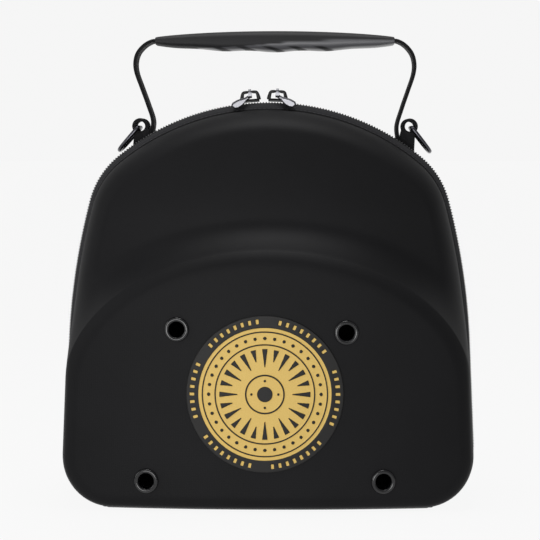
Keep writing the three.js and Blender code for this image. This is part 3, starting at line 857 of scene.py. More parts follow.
@dataclass
class FrontShell(HalfShell):
    """Front half, with a crown-shaped dome below and a shallower brim-shaped region above it."""

    front_depth: float = 88
    dome_rise: float = 98
    dome_edge_inset: float = 0.9
    dome_side_round: float = 6
    dome_plan_radius: float = 650
    shoulder_drop: float = 5.5
    shoulder_width: float = 12
    brim_depth: float = 59
    brim_side_drop: float = 24
    brim_lean_start: float = 205
    brim_top_drop: float = 20
    brim_round: float = 16
    arch_foot_width: float = 24
    eyelet_hole: float = 6.8
    eyelets: dict[str, Point] = field(
        default_factory=lambda: {
            "upper_left": (-62.4, 128),
            "upper_right": (54.8, 126),
            "lower_left": (-84, 22.2),
            "lower_right": (80.6, 22.2),
        }
    )

    def inside_edge(self, x: float, z: float, offset: float) -> float:
        """Distance inside the dome's edge: an ellipse above the dome's centre, a line inside the rim below.

        Args:
            x: Place across.
            z: Height.
            offset: Distance inside the outer skin.

        Returns:
            The distance, negative above the arch.
        """
        up = z - self.outline.pole
        if up <= 0:
            return self.outline.inset_at(x, z) - self.outline.rim_inset - offset - self.dome_edge_inset
        a, b = self.semi_axes(offset)
        level = math.hypot(x / a, up / b)
        return level * (1 - level) / math.hypot(x / a**2, up / b**2)

    def semi_axes(self, offset: float) -> Point:
        """Half width and height of the arch."""
        half = self.outline.half_width - self.outline.rim_inset - self.dome_edge_inset - offset
        return half, self.dome_rise - offset

    def depth(self, x: float, z: float, offset: float) -> float:
        """Distance of the surface from the zip plane.

        Args:
            x: Place across.
            z: Height.
            offset: Distance inside the outer skin.

        Returns:
            The distance in millimetres.
        """
        inside = self.outline.inset_at(x, z) - self.outline.rim_inset - offset
        edge = self.inside_edge(x, z, offset)
        face = self.front_depth - offset - sag(x, self.dome_plan_radius) - self.rim_from_zip
        lean = max(z - self.brim_lean_start, 0) / (self.outline.crest_height - self.brim_lean_start)
        drop = self.brim_side_drop * (x / self.outline.half_width) ** 2 + self.brim_top_drop * lean**1.5
        brim_face = self.brim_depth - offset - drop
        shoulder = self.shoulder_drop * (1 - clamp(edge / self.shoulder_width)) ** 2.2
        dome = (face - shoulder) * round_off(inside, self.dome_side_round, 4)
        brim = max(brim_face - self.rim_from_zip, 0) * round_off(inside, self.brim_round, 2.2)
        climb = (1 - clamp(-edge / self.arch_foot_width)) ** 2.3
        return self.rim_from_zip + (dome if edge >= 0 else brim + (dome - brim) * climb)

    def crossing(self, rim: Rim, offset: float) -> Point:
        """Where the ray to a rim point crosses the dome's edge.

        Args:
            rim: The point on the rim.
            offset: Distance inside the outer skin.

        Returns:
            Share of the way from the pole to the rim, and the share of a millimetre there.
        """
        rise = rim.z - self.outline.pole
        if rise <= 0:
            support = rim.x * rim.nx + rise * rim.nz
            return 1 - self.dome_edge_inset / support, 1 / support
        a, b = self.semi_axes(offset)
        share = 1 / math.hypot(rim.x / a, rise / b)
        return share, share**3 * math.hypot(rim.x / a**2, rise / b**2)

    def on_face(self, x: float, z: float) -> Matrix:
        """Place on the dome's face, with a piece's outward axis along its own -Y."""
        tilt = math.asin(x / self.dome_plan_radius)
        spot = Vector((x, sag(x, self.dome_plan_radius) - self.front_depth, z))
        return Matrix.Translation(spot) @ Matrix.Rotation(tilt, 4, "Z")

    def build(self) -> bpy.types.Object:
        """Build the shell and cut its eyelet holes.

        Returns:
            The finished shell.
        """
        outer = [0.1 * (j / 20) ** 3 for j in range(20)] + [0.1 + 0.9 * j / 50 for j in range(51)]
        shoulder = [1.15 * self.shoulder_width * j / 16 for j in range(17)]
        inner_outer = [0.1 * (j / 6) ** 3 for j in range(6)] + [0.1 + 0.9 * j / 12 for j in range(13)]
        inner_shoulder = [1.15 * self.shoulder_width * j / 5 for j in range(6)]
        bm = self.body((outer, shoulder, 26), (inner_outer, inner_shoulder, 8))
        shell = self.shop.piece("front_shell_fabric", bm, SHELL_KNIT, "case", ["front_shell"], sharp=60)
        self.pierce(shell)
        return shell

    def pierce(self, shell: bpy.types.Object) -> None:
        """Cut the eyelet holes through the shell.

        Args:
            shell: The finished shell.
        """
        bm = bmesh.new()
        for x, z in self.eyelets.values():
            size = {"cap_ends": True, "segments": 40, "radius1": self.eyelet_hole, "radius2": self.eyelet_hole}
            bmesh.ops.create_cone(bm, depth=30, matrix=self.on_face(x, z) @ turned(90, "X"), **size)
        punch = mesh_object("eyelet_holes", bm)
        hole = shell.modifiers.new("eyelet_holes", "BOOLEAN")
        hole.operation, hole.object, hole.solver = "DIFFERENCE", punch, "EXACT"
        bpy.context.view_layer.update()
        done = bpy.data.meshes.new_from_object(shell.evaluated_get(bpy.context.evaluated_depsgraph_get()))
        shell.modifiers.clear()
        shell.data = done
        done.name = shell.name
        bpy.data.objects.remove(punch)


@dataclass
class BackShell(HalfShell):
    """Back half: a flat back with rounded edges."""

    back_depth: float = 62
    back_round: float = 28

    def depth(self, x: float, z: float, offset: float) -> float:
        """Distance of the surface from the zip plane.

        Args:
            x: Place across.
            z: Height.
            offset: Distance inside the outer skin.

        Returns:
            The distance in millimetres.
        """
        inside = self.outline.inset_at(x, z) - self.outline.rim_inset - offset
        full = self.back_depth - offset - self.rim_from_zip
        return self.rim_from_zip + full * round_off(inside, self.back_round, 3)

    def crossing(self, rim: Rim, offset: float) -> Point:
        """Where the ray to a rim point crosses onto the flat back."""
        support = rim.x * rim.nx + (rim.z - self.outline.pole) * rim.nz
        return 1 - self.back_round / support, 1 / support

    def build(self) -> bpy.types.Object:
        """Build the shell.

        Returns:
            The finished shell.
        """
        outer = [(j / 30) ** 2.2 for j in range(31)]
        inner_outer = [(j / 10) ** 2.2 for j in range(11)]
        bm = self.body((outer, [0, 2, 5], 14), (inner_outer, [0, 5], 5))
        return self.shop.piece("back_shell_fabric", bm, SHELL_KNIT, "case", ["back_shell"], sharp=60)


@dataclass
class ZipBand:
    """Woven tapes, coil, hinge strip and stitching along the edge of the case."""

    shop: Workshop
    outline: Outline
    seat_gap: float = 0.3
    chain_width: float = 6
    chain_height: float = 2.4
    tape_thickness: float = 1.2
    tape_shoulder_inset: float = 1
    tape_rim_inset: float = 4.8
    rim_from_zip: float = 10
    hinge_thickness: float = 1.6
    tooth_pitch: float = 2.1
    tooth_from_middle: float = 1.1
    tooth_slant: float = 14
    stitch_pitch: float = 3.4
    stitch_from_zip: float = 7.9

    def stations(self) -> tuple[list[Rim], list[Rim]]:
        """Outline points under the zip, and those under the hinge strip at the bottom."""
        crest = [self.raised(rim) for rim in self.outline.loop(0)]
        end = self.outline.steps[0] + self.outline.steps[1] // 2
        return crest[end : len(crest) - end + 1], [*crest[-end - 3 :], *crest[: end + 4]]

    def raised(self, rim: Rim) -> Rim:
        """Raise a point of the crest, the more the nearer it is to the top."""
        start, end = self.outline.corner_centre[1], self.outline.side_centre[1]
        rise = self.outline.zip_rise * ease((rim.z - start) / (end - start))
        return replace(rim, z=rim.z + rise, rise=rise)

    def station(self, rim: Rim) -> Station:
        """Station on the crest, with the section's height towards the inside."""
        lift = (rim.rise * rim.nz, self.outline.rim_inset)
        return Station(Vector((rim.x, 0, rim.z)), Vector((0, 1, 0)), Vector((-rim.nx, 0, -rim.nz)), lift=lift)

    def carry(self, section: Sequence[Point], rims: Sequence[Rim]) -> Net:
        """Carry a section of distance from the zip plane and inset from the crest along the outline."""
        return sweep(section, [self.station(rim) for rim in rims])

    def even_places(self, rims: Sequence[Rim], pitch: float) -> list[Rim]:
        """Evenly spaced points of a line.

        Args:
            rims: The line.
            pitch: Distance between two points.

        Returns:
            The points.
        """
        total = lengths([Vector((rim.x, rim.z, 0)) for rim in rims])
        count = round(total[-1] / pitch)
        places, span = [], 0
        for i in range(count + 1):
            reach = total[-1] * i / count
            while total[span + 1] < reach - 1e-9 and span < len(total) - 2:
                span += 1
            a, b = rims[span], rims[span + 1]
            t = (reach - total[span]) / (total[span + 1] - total[span])
            nx, nz = a.nx + (b.nx - a.nx) * t, a.nz + (b.nz - a.nz) * t
            size = math.hypot(nx, nz)
            rise = a.rise + (b.rise - a.rise) * t
            places.append(Rim(a.x + (b.x - a.x) * t, a.z + (b.z - a.z) * t, nx / size, nz / size, rise))
        return places

    def tape_section(self, side: int) -> list[Point]:
        """Section of a tape: crowned a little, with rounded edges."""
        near, far = self.chain_width / 2 + self.seat_gap, self.rim_from_zip - self.seat_gap
        upper = []
        for step in range(7):
            share = step / 6
            y = near + (far - near) * share
            inset = self.tape_shoulder_inset + (self.tape_rim_inset - self.tape_shoulder_inset) * share
            upper.append((y, inset - 0.5 * math.sin(math.pi * share)))
        lower = [(y, inset + self.tape_thickness) for y, inset in reversed(upper)]
        mid = self.tape_thickness / 2
        ends = [(far + 0.1, upper[-1][1] + mid), (near - 0.1, upper[0][1] + mid)]
        return [(side * y, inset) for y, inset in [*upper, ends[0], *lower, ends[1]]]

    def bead_place(self, rim: Rim, spot: Point, size: Sequence[float], slant: float = 0.0) -> Matrix:
        """Place of a bead of a size on the section over a point of the outline."""
        turn = Matrix.Rotation(math.atan2(rim.nx, rim.nz), 4, "Y") @ turned(slant, "Z")
        return Matrix.Translation(self.station(rim).at(spot)) @ turn @ Matrix.Diagonal((*size, 1))

    def teeth(self, rims: Sequence[Rim]) -> Net:
        """Coil of the zip: two rows of rounded loops that mesh along the middle.

        Args:
            rims: Outline points under the zip.

        Returns:
            The beads of both rows.
        """
        out = self.chain_height * 0.42
        size = (self.tooth_pitch * 0.27, self.chain_width * 0.31, out)
        places = []
        for rim in self.even_places(rims, self.tooth_pitch):
            for side in (-1, 1):
                spot = (side * self.tooth_from_middle, out)
                places.append(self.bead_place(rim, spot, size, self.tooth_slant * side))
        return beads(places)

    def stitches(self, side: int, rims: Sequence[Rim]) -> Net:
        """Row of stitches that holds a tape.

        Args:
            side: Side of the zip plane, -1 or 1.
            rims: Outline points under the zip.

        Returns:
            The stitches.
        """
        inset = self.tape_shoulder_inset + (self.tape_rim_inset - self.tape_shoulder_inset) * 0.72 - 0.45
        spot = (side * self.stitch_from_zip, inset)
        rims = self.even_places(rims, self.stitch_pitch)
        return beads([self.bead_place(rim, spot, (1.25, 0.36, 0.34)) for rim in rims])

    def build(self) -> None:
        """Build the tapes, the coil, the hinge strip and the stitching."""
        zip_rims, hinge_rims = self.stations()
        for side, name in ((-1, "front"), (1, "back")):
            bm = self.carry(self.tape_section(side), zip_rims)
            self.shop.piece(f"zip_tape_{name}_woven", bm, ZIP_TAPE, "case", [f"zip_tape_{name}"], sharp=50)
            self.shop.piece(f"zip_stitches_{name}", self.stitches(side, zip_rims), THREAD, "case")
        core = [(y, inset + 1.5) for y, inset in rounded_section(self.chain_width * 0.9, 1.2, 0.4)]
        self.shop.piece("zip_coil_cord", self.carry(core, zip_rims), ZIP_COIL, "case", ["zip_chain"])
        # The teeth take the lighter nylon colour, a painted highlight on the coil.
        self.shop.piece("zip_coil_teeth", self.teeth(zip_rims), ZIP_TEETH_PAINTED_HIGHLIGHT, "case", sharp=80)
        outside = self.tape_rim_inset + self.tape_thickness + self.seat_gap
        width = 2 * (self.rim_from_zip - self.seat_gap)
        middle = outside + self.hinge_thickness / 2
        section = [(y, inset + middle) for y, inset in rounded_section(width, self.hinge_thickness, 0.5)]
        self.shop.piece("hinge_strip_woven", self.carry(section, hinge_rims), HINGE_TAPE, "case", ["hinge_strip"])


@dataclass
class Slider:
    """Zip slider with its bridge, and the pull tab that hangs on it."""

    shop: Workshop
    outline: Outline
    name: str
    x: float
    side: Side
    length: float = 13
    width: float = 8.6
    plate: float = 1.5
    seat_gap: float = 0.3
    bridge_length: float = 14.6
    bridge_height: float = 8
    bridge_width: float = 3
    bridge_thickness: float = 2.2
    pull_length: float = 21
    pull_width: float = 7
    pull_thickness: float = 2
    neck_width: float = 2.8
    neck_length: float = 5
    stub: float = 4.3
    yaw: float = 50
    drop: float = 40
    eye_bore: float = 1.35
    eye_wall: float = 0.8

    @property
    def place(self) -> Matrix:
        """Frame on the crest, with +Z outwards and +X along the zip."""
        angle = math.asin(self.x / self.outline.top_radius)
        height = self.outline.top_centre[1] + self.outline.zip_rise + self.outline.top_radius * math.cos(angle)
        return Matrix.Translation((self.x, 0, height)) @ Matrix.Rotation(angle, 4, "Y")

    def body(self) -> Net:
        """Clasp over the coil: a bevelled plate with turned-down sides and a tapered nose.

        Returns:
            The clasp.
        """
        bm = bmesh.new()
        top = self.seat_gap + self.plate
        sizes = [((0, 0, self.seat_gap + self.plate / 2), (self.length, self.width, self.plate))]
        for side in (-1, 1):
            middle = (0, side * (self.width / 2 - 0.5), (top - 0.6) / 2 - 0.1)
            sizes.append((middle, (self.length, 1.0, top + 0.2)))
        for middle, size in sizes:
            place = Matrix.Translation(middle) @ Matrix.Diagonal((*size, 1))
            bmesh.ops.create_cube(bm, size=1.0, matrix=place)
        for vert in bm.verts:
            vert.co.y *= 1 - 0.22 * ease((abs(vert.co.x) - 3) / 3.5)
        bevel_sharp(bm, 0.5, 0.35, 3)
        return bm

    def bridge(self) -> Net:
        """Loop over the clasp that the pull tab hangs on: thick legs and a slimmer bar.

        Returns:
            The bridge.
        """
        half = self.bridge_length / 2 - self.bridge_thickness / 2
        bar = self.bridge_height - self.bridge_thickness / 2
        foot = self.seat_gap + self.plate * 0.5
        line = smooth_line(
            [(-half, foot), (-half + 0.2, 2.8), (-half + 1.3, bar - 0.5), (-half + 3.2, bar), (half - 3.2, bar),
             (half - 1.3, bar - 0.5), (half - 0.2, 2.8), (half, foot)],
            6,
        )
        path = []
        for station, (_, z) in zip(flat_path(line), line):
            thick = 1 + 0.35 * (1 - ease((z - foot) / (bar - foot)))
            slim = ease((2.6 - abs(station.origin.x)) / 1.2)
            path.append(Station(station.origin, station.side, station.out, (1 - 0.4 * slim, thick - 0.25 * slim)))
        return sweep(rounded_section(self.bridge_width, self.bridge_thickness, 0.7), path)

    def pull_shape(self) -> list[Point]:
        """Outline of the tab: a neck that widens, and a clipped tip.

        Returns:
            Points as across and along.
        """
        neck, broad = self.neck_width / 2, self.pull_width / 2
        reach = self.pull_length - self.stub
        right = [(neck, 0), (neck, -self.neck_length * 0.8), (broad * 0.8, -self.neck_length - broad * 0.7)]
        right += [(broad, -self.neck_length - broad * 1.5), (broad, broad * 0.7 - reach), (broad * 0.55, -reach)]
        return [*right, *((-x, y) for x, y in reversed(right))]

    def pull(self) -> Net:
        """Pull tab: an eye on the bridge's bar, a stub and the faceted tab that leans to one side.

        Returns:
            The tab.
        """
        bm = bmesh.new()
        shape = [bm.verts.new((x, y, -self.pull_thickness / 2)) for x, y in self.pull_shape()]
        face = bm.faces.new(shape)
        raised = bmesh.ops.extrude_face_region(bm, geom=[face])["geom"]
        top = [item for item in raised if isinstance(item, bmesh.types.BMVert)]
        bmesh.ops.translate(bm, verts=top, vec=(0, 0, self.pull_thickness * 0.55))
        cap = [item for item in raised if isinstance(item, bmesh.types.BMFace)]
        bmesh.ops.inset_region(bm, faces=cap, thickness=1.1, depth=self.pull_thickness * 0.45, use_even_offset=True)
        bevel_sharp(bm, 0.9, 0.18, 2)
        tab = Matrix.Translation((0, -self.stub, 0)) @ turned(self.side.value * self.yaw, "Z")
        bmesh.ops.transform(bm, matrix=tab, verts=bm.verts)
        eye_radius = self.eye_bore + self.eye_wall / 2
        stub_start, stub_end = eye_radius, self.stub + self.neck_width / 2
        size = Matrix.Diagonal((self.neck_width, stub_end - stub_start, self.pull_thickness * 0.9, 1))
        middle = Matrix.Translation((0, -(stub_start + stub_end) / 2, 0))
        bmesh.ops.create_cube(bm, size=1.0, matrix=middle @ size)
        bmesh.ops.transform(bm, matrix=turned(self.drop, "X"), verts=bm.verts)
        path = []
        for step in range(32):
            turn = 2 * math.pi * step / 32
            out = Vector((0, math.cos(turn), math.sin(turn)))
            path.append(Station(out * eye_radius, Vector((1, 0, 0)), out))
        eye = sweep(rounded_section(self.pull_thickness, self.eye_wall, 0.3), path, closed=True)
        mesh = bpy.data.meshes.new("pull_eye")
        eye.to_mesh(mesh)
        eye.free()
        bm.from_mesh(mesh)
        bpy.data.meshes.remove(mesh)
        return bm

    def build(self) -> None:
        """Build the slider and its pull tab."""
        body = self.body()
        bmesh.ops.transform(body, matrix=self.place, verts=body.verts)
        self.shop.piece(f"slider_{self.name}_clasp", body, SLIDER_METAL, "case", [f"slider_{self.name}"])
        bridge = self.bridge()
        bmesh.ops.transform(bridge, matrix=self.place, verts=bridge.verts)
        self.shop.piece(f"slider_{self.name}_bridge", bridge, SLIDER_METAL, "case")
        pull = self.pull()
        bar = Matrix.Translation((0, 0, self.bridge_height - self.bridge_thickness / 2))
        bmesh.ops.transform(pull, matrix=self.place @ bar, verts=pull.verts)
        node = f"pull_tab_{self.name}"
        self.shop.piece(f"{node}_plated", pull, PULL_METAL, f"{self.name}_pull", [node], sharp=25)


@dataclass(frozen=True)
class StrapPlace:
    """Where a strap is sewn on, and how its loop and D-ring sit: degrees from the vertical, millimetres."""

    name: str
    side: Side
    pad_angle: float
    loop_angle: float
    loop_stand_off: float
    ring_hang: float


@dataclass
class Handle:
    """Moulded grip on flat webbing, with a D-ring in a loop on each side."""

    shop: Workshop
    outline: Outline
    webbing_width: float = 25
    webbing_thickness: float = 2.3
    strap_plane: float = 23.5
    shift: float = 3.85
    grip_length: float = 175
    grip_height: float = 331.2
    grip_middle: float = 14.7
    grip_end: float = 5.6
    grip_width: float = 30
    grip_end_width: float = 28.4
    socket_depth: float = 12
    strap_bow: float = 14.9
    seat_gap: float = 0.3
    loop_wall: float = 2.3
    loop_hole: float = 3.6
    bar_side: float = 120
    wedge_reach: float = 5
    ring_wire: float = 3
    ring_side_gap: float = 0.6
    ring_reach: float = 22
    places: tuple[StrapPlace, ...] = (
        StrapPlace("left", Side.LEFT, 29.7, 30.7, 10.7, 41),
        StrapPlace("right", Side.RIGHT, 33, 32.8, 14.6, 38),
    )
    route: tuple[Point, ...] = (
        (0.05, 0.2), (0.19, 0.14), (0.36, 0.39), (0.53, 0.69), (0.69, 0.96), (0.78, 1), (0.875, 0.88), (0.96, 0.52),
        (1, 0.12),
    )

    def grip(self) -> Net:
        """Grip: a long lens seen from the front, rounded in section, with finger waves and square ends.

        Returns:
            The grip, with its polished share in the attribute shine.
        """

        def spot(u: float, v: float) -> Vector:
            """Place of a point, from its share along the grip and round it."""
            share = 2 * u - 1
            swell = max(1 - share * share, 0) ** 0.8
            tall = (self.grip_end + (self.grip_middle - self.grip_end) * swell) / 2
            deep = (self.grip_end_width + (self.grip_width - self.grip_end_width) * swell) / 2
            turn = 2 * math.pi * v
            across = math.copysign(abs(math.cos(turn)) ** 0.6, math.cos(turn))
            up = math.copysign(abs(math.sin(turn)) ** 0.6, math.sin(turn))
            wave = 0.55 * math.cos(share * math.pi * 4.5) * swell if up < 0 else 0.0
            return Vector((share * self.grip_length / 2, -deep * across, up * tall - wave * min(up, 0) ** 2))

        bm = net(140, 64, spot)
        cap_ends(bm)
        # shine marks the polished underside: lower roughness, and a lighter colour that is a painted reflection.
        shine = bm.verts.layers.float.new("shine")
        for vert in bm.verts:
            x, z = vert.co.x, vert.co.z
            parting = -5.2 + 5.4 * ease((x + 55) / 105)
            ridge = ease((math.cos((x + 3 * z) * math.pi / 9.5) - 0.1) / 0.6) * ease((-3.4 - z) / 1.4)
            vert[shine] = (1 - ease((z - parting) / 0.5 + 0.5)) * (1 - ridge * ease((52 - x) / 12))
        bevel_sharp(bm, 1.0, 0.5, 2, clamped=False)
        bmesh.ops.translate(bm, verts=bm.verts, vec=(self.shift, self.strap_plane, self.grip_height))
        return bm

    def webbing_section(self) -> list[Point]:
        """Two layers of webbing sewn together: a groove along the middle of each edge."""
        half, quarter = self.webbing_width / 2, self.webbing_thickness / 4
        edge = [(half - 0.5, 2 * quarter), (half - 0.1, 1.6 * quarter), (half, quarter), (half - 0.1, 0.4 * quarter)]
        edge.append((half - 0.4, 0))
        right = [*((x, -z) for x, z in edge[:-1]), edge[-1], *reversed(edge[:-1])]
        across = [(x, 2 * quarter) for x in (9, 6, 3, 0, -3, -6, -9)]
        left = [(-x, -z) for x, z in right]
        return [*right, *across, *left, *((-x, -z) for x, z in across)]

    def loop_centre(self, place: StrapPlace) -> Point:
        """Centre of a strap's loop."""
        top = self.outline.top_radius + place.loop_stand_off
        x, z = polar(self.outline.top_centre, top, place.loop_angle)
        return place.side.value * x, z

    def bar_centre(self, place: StrapPlace) -> Point:
        """Centre of a D-ring's bar, which lies against the lower outer side of the loop's hole."""
        x, z = self.loop_centre(place)
        across, up = polar((0, 0), self.loop_hole - self.ring_wire / 2 - self.seat_gap, self.bar_side)
        return x + place.side.value * across, z + up

    def pad_radius(self) -> float:
        """Radius of the middle of the webbing where it is sewn to the shell."""
        rim = self.outline.top_radius - self.outline.rim_inset
        return rim + self.seat_gap + self.webbing_thickness / 2

    def strap(self, place: StrapPlace) -> Net:
        """Strap from its socket in the grip down to its pad on the back shell.

        Args:
            place: Where the strap is sewn on.

        Returns:
            The strap.
        """
        side = place.side.value
        pad = polar(self.outline.top_centre, self.pad_radius(), place.pad_angle)
        grip = self.shift * side + self.grip_length / 2
        rise = self.grip_height - pad[1]
        line = [(side * pad[0], pad[1])]
        line += [(side * (grip + bow * self.strap_bow), pad[1] + up * rise) for up, bow in self.route]
        line += [(side * (grip - 3), self.grip_height), (side * (grip - self.socket_depth + 1), self.grip_height)]
        return sweep(self.webbing_section(), flat_path(smooth_line(line, 8)))

    def pad(self, place: StrapPlace) -> Net:
        """Webbing along the edge of the back shell under the strap and the loop."""
        turns = [-3.5, -2, 0, 2, 4, place.loop_angle - place.pad_angle + self.wedge_reach + 1]
        points = [polar(self.outline.top_centre, self.pad_radius(), place.pad_angle + turn) for turn in turns]
        line = smooth_line([(place.side.value * x, z) for x, z in points], 5)
        return sweep(self.webbing_section(), flat_path(line))

    def loop(self, place: StrapPlace) -> Net:
        """Open loop of webbing that holds the D-ring's bar."""
        x, z = self.loop_centre(place)
        middle = self.loop_hole + self.loop_wall / 2
        path = []
        for step in range(40):
            turn = 2 * math.pi * step / 40
            out = Vector((math.sin(turn), 0, math.cos(turn)))
            path.append(Station(Vector((x, 0, z)) + out * middle, Vector((0, 1, 0)), out))
        return sweep(self.webbing_section(), path, closed=True)

    def wedge(self, place: StrapPlace) -> Net:
        """Folded webbing between the pad and the loop, hollowed where the loop's hole is.

        Args:
            place: Where the strap is sewn on.

        Returns:
            The wedge.
        """
        side, hollow = place.side.value, self.loop_hole + self.loop_wall / 2
        feet = [
            polar(self.outline.top_centre, self.pad_radius(), angle)
            for angle in (place.pad_angle, place.loop_angle + self.wedge_reach)
        ]
        x, z = self.loop_centre(place)
        arc = [polar((side * x, z), hollow, place.loop_angle + 90 + 15 * step) for step in range(13)]
        section = [(side * across, up) for across, up in [*feet, *arc]]
        half = self.webbing_width / 2
        path = [Station(Vector((0, y, 0)), Vector((1, 0, 0)), Vector((0, 0, 1))) for y in (-half, half)]
        return sweep(section, path)

    def seam(self, place: StrapPlace) -> Net:
        """Rows of stitches over the pad."""
        places = []
        for y in (-9.5, -3.2, 3.2, 9.5):
            for step in range(5):
                angle = place.pad_angle - 3.2 + 0.9 * step
                x, z = polar(self.outline.top_centre, self.pad_radius() + self.webbing_thickness / 2, angle)
                turn = turned(place.side.value * angle, "Y")
                spot = Matrix.Translation((place.side.value * x, y, z))
                places.append(spot @ turn @ Matrix.Diagonal((1.1, 0.35, 0.3, 1)))
        return beads(places)

    def ring(self, place: StrapPlace) -> Net:
        """D-ring of round wire, with its straight bar in the loop.

        Args:
            place: Where the strap is sewn on.

        Returns:
            The ring.
        """
        corner = self.ring_wire / 2 + self.ring_side_gap
        half = self.webbing_width / 2 + corner
        reach = self.ring_reach
        quarter = [(half, 0), (half, -corner), (half, -reach * 0.9), (half * 0.7, -reach), (0, -reach)]
        line = [Vector((half - corner, 0)) * (step / 6) for step in range(6)]
        start = Vector((half - corner, 0))
        for step in range(6):
            t = step / 6
            line.append(start * (1 - t) ** 2 + Vector(quarter[0]) * 2 * t * (1 - t) + Vector(quarter[1]) * t * t)
        a, b, c, d = (Vector(point) for point in quarter[1:])
        for step in range(21):
            t = step / 20
            line.append(a * (1 - t) ** 3 + b * 3 * t * (1 - t) ** 2 + c * 3 * t * t * (1 - t) + d * t**3)
        line += [Vector((-point.x, point.y)) for point in reversed(line[1:-1])]
        path = []
        for i, point in enumerate(line):
            step = line[(i + 1) % len(line)] - line[i - 1]
            out = Vector((0, -step.y, step.x)).normalized()
            path.append(Station(Vector((0, point.x, point.y)), Vector((1, 0, 0)), out))
        bm = sweep(round_section(self.ring_wire / 2, 14), path, closed=True)
        x, z = self.bar_centre(place)
        turn = turned(-place.side.value * place.ring_hang, "Y")
        bmesh.ops.transform(bm, matrix=Matrix.Translation((x, self.strap_plane, z)) @ turn, verts=bm.verts)
        return bm

    def build(self) -> None:
        """Build the grip, the straps and the D-rings."""
        grip = self.grip()
        self.shop.piece("handle_grip_moulded", grip, GRIP_RUBBER, "case", ["handle_grip"], sharp=50)
        for place in self.places:
            parts = {"strap": self.strap, "pad": self.pad, "loop": self.loop, "wedge": self.wedge}
            for part, make in parts.items():
                bm = make(place)
                bmesh.ops.translate(bm, verts=bm.verts, vec=(0, self.strap_plane, 0))
                nodes = [f"webbing_{place.name}"] if part == "strap" else []
                self.shop.piece(f"webbing_{place.name}_{part}", bm, WEBBING, "case", nodes, sharp=50)
            seam = self.seam(place)
            bmesh.ops.translate(seam, verts=seam.verts, vec=(0, self.strap_plane, 0))
            self.shop.piece(f"webbing_{place.name}_seam", seam, THREAD, "case")
            node = f"d_ring_{place.name}"
            self.shop.piece(f"{node}_wire", self.ring(place), RING_METAL, f"{place.name}_ring", [node])


@dataclass
class Eyelet:
    """Moulded eyelet with a rolled rim and a barrel through the shell."""

    shop: Workshop
    shell: FrontShell
    name: str
    centre: Point
    radius: float = 8.6
    bore: float = 5.35
    barrel: float = 6.4
    roll: float = 2.2
    tail: float = 4.7
    seat_gap: float = 0.3

    def build(self) -> None:
        """Spin the eyelet's section once round and set it on the dome."""
        middle, half = (self.radius + self.bore) / 2, (self.radius - self.bore) / 2
        line = [(self.bore, -self.tail), (self.bore, 0.4)]
        for step in range(11):
            turn = math.radians(180 - 18 * step)
            line.append((middle + half * math.cos(turn), 0.6 + (self.roll - 0.6) * math.sin(turn)))
        line += [(self.radius, self.seat_gap), (self.barrel, self.seat_gap), (self.barrel, -self.tail)]
        bm = bmesh.new()
        verts = [bm.verts.new((r, -h, 0)) for r, h in line]
        edges = [bm.edges.new(pair) for pair in pairwise([*verts, verts[0]])]
        geom = [*verts, *edges]
        turn = {"axis": (0, 1, 0), "cent": (0, 0, 0), "angle": 2 * math.pi, "steps": 56}
        bmesh.ops.spin(bm, geom=geom, use_merge=True, use_duplicate=False, **turn)
        bmesh.ops.transform(bm, matrix=self.shell.on_face(*self.centre), verts=bm.verts)
        node = f"eyelet_{self.name}"
        self.shop.piece(f"{node}_rolled", bm, EYELET_PLASTIC, "case", [node], sharp=50)


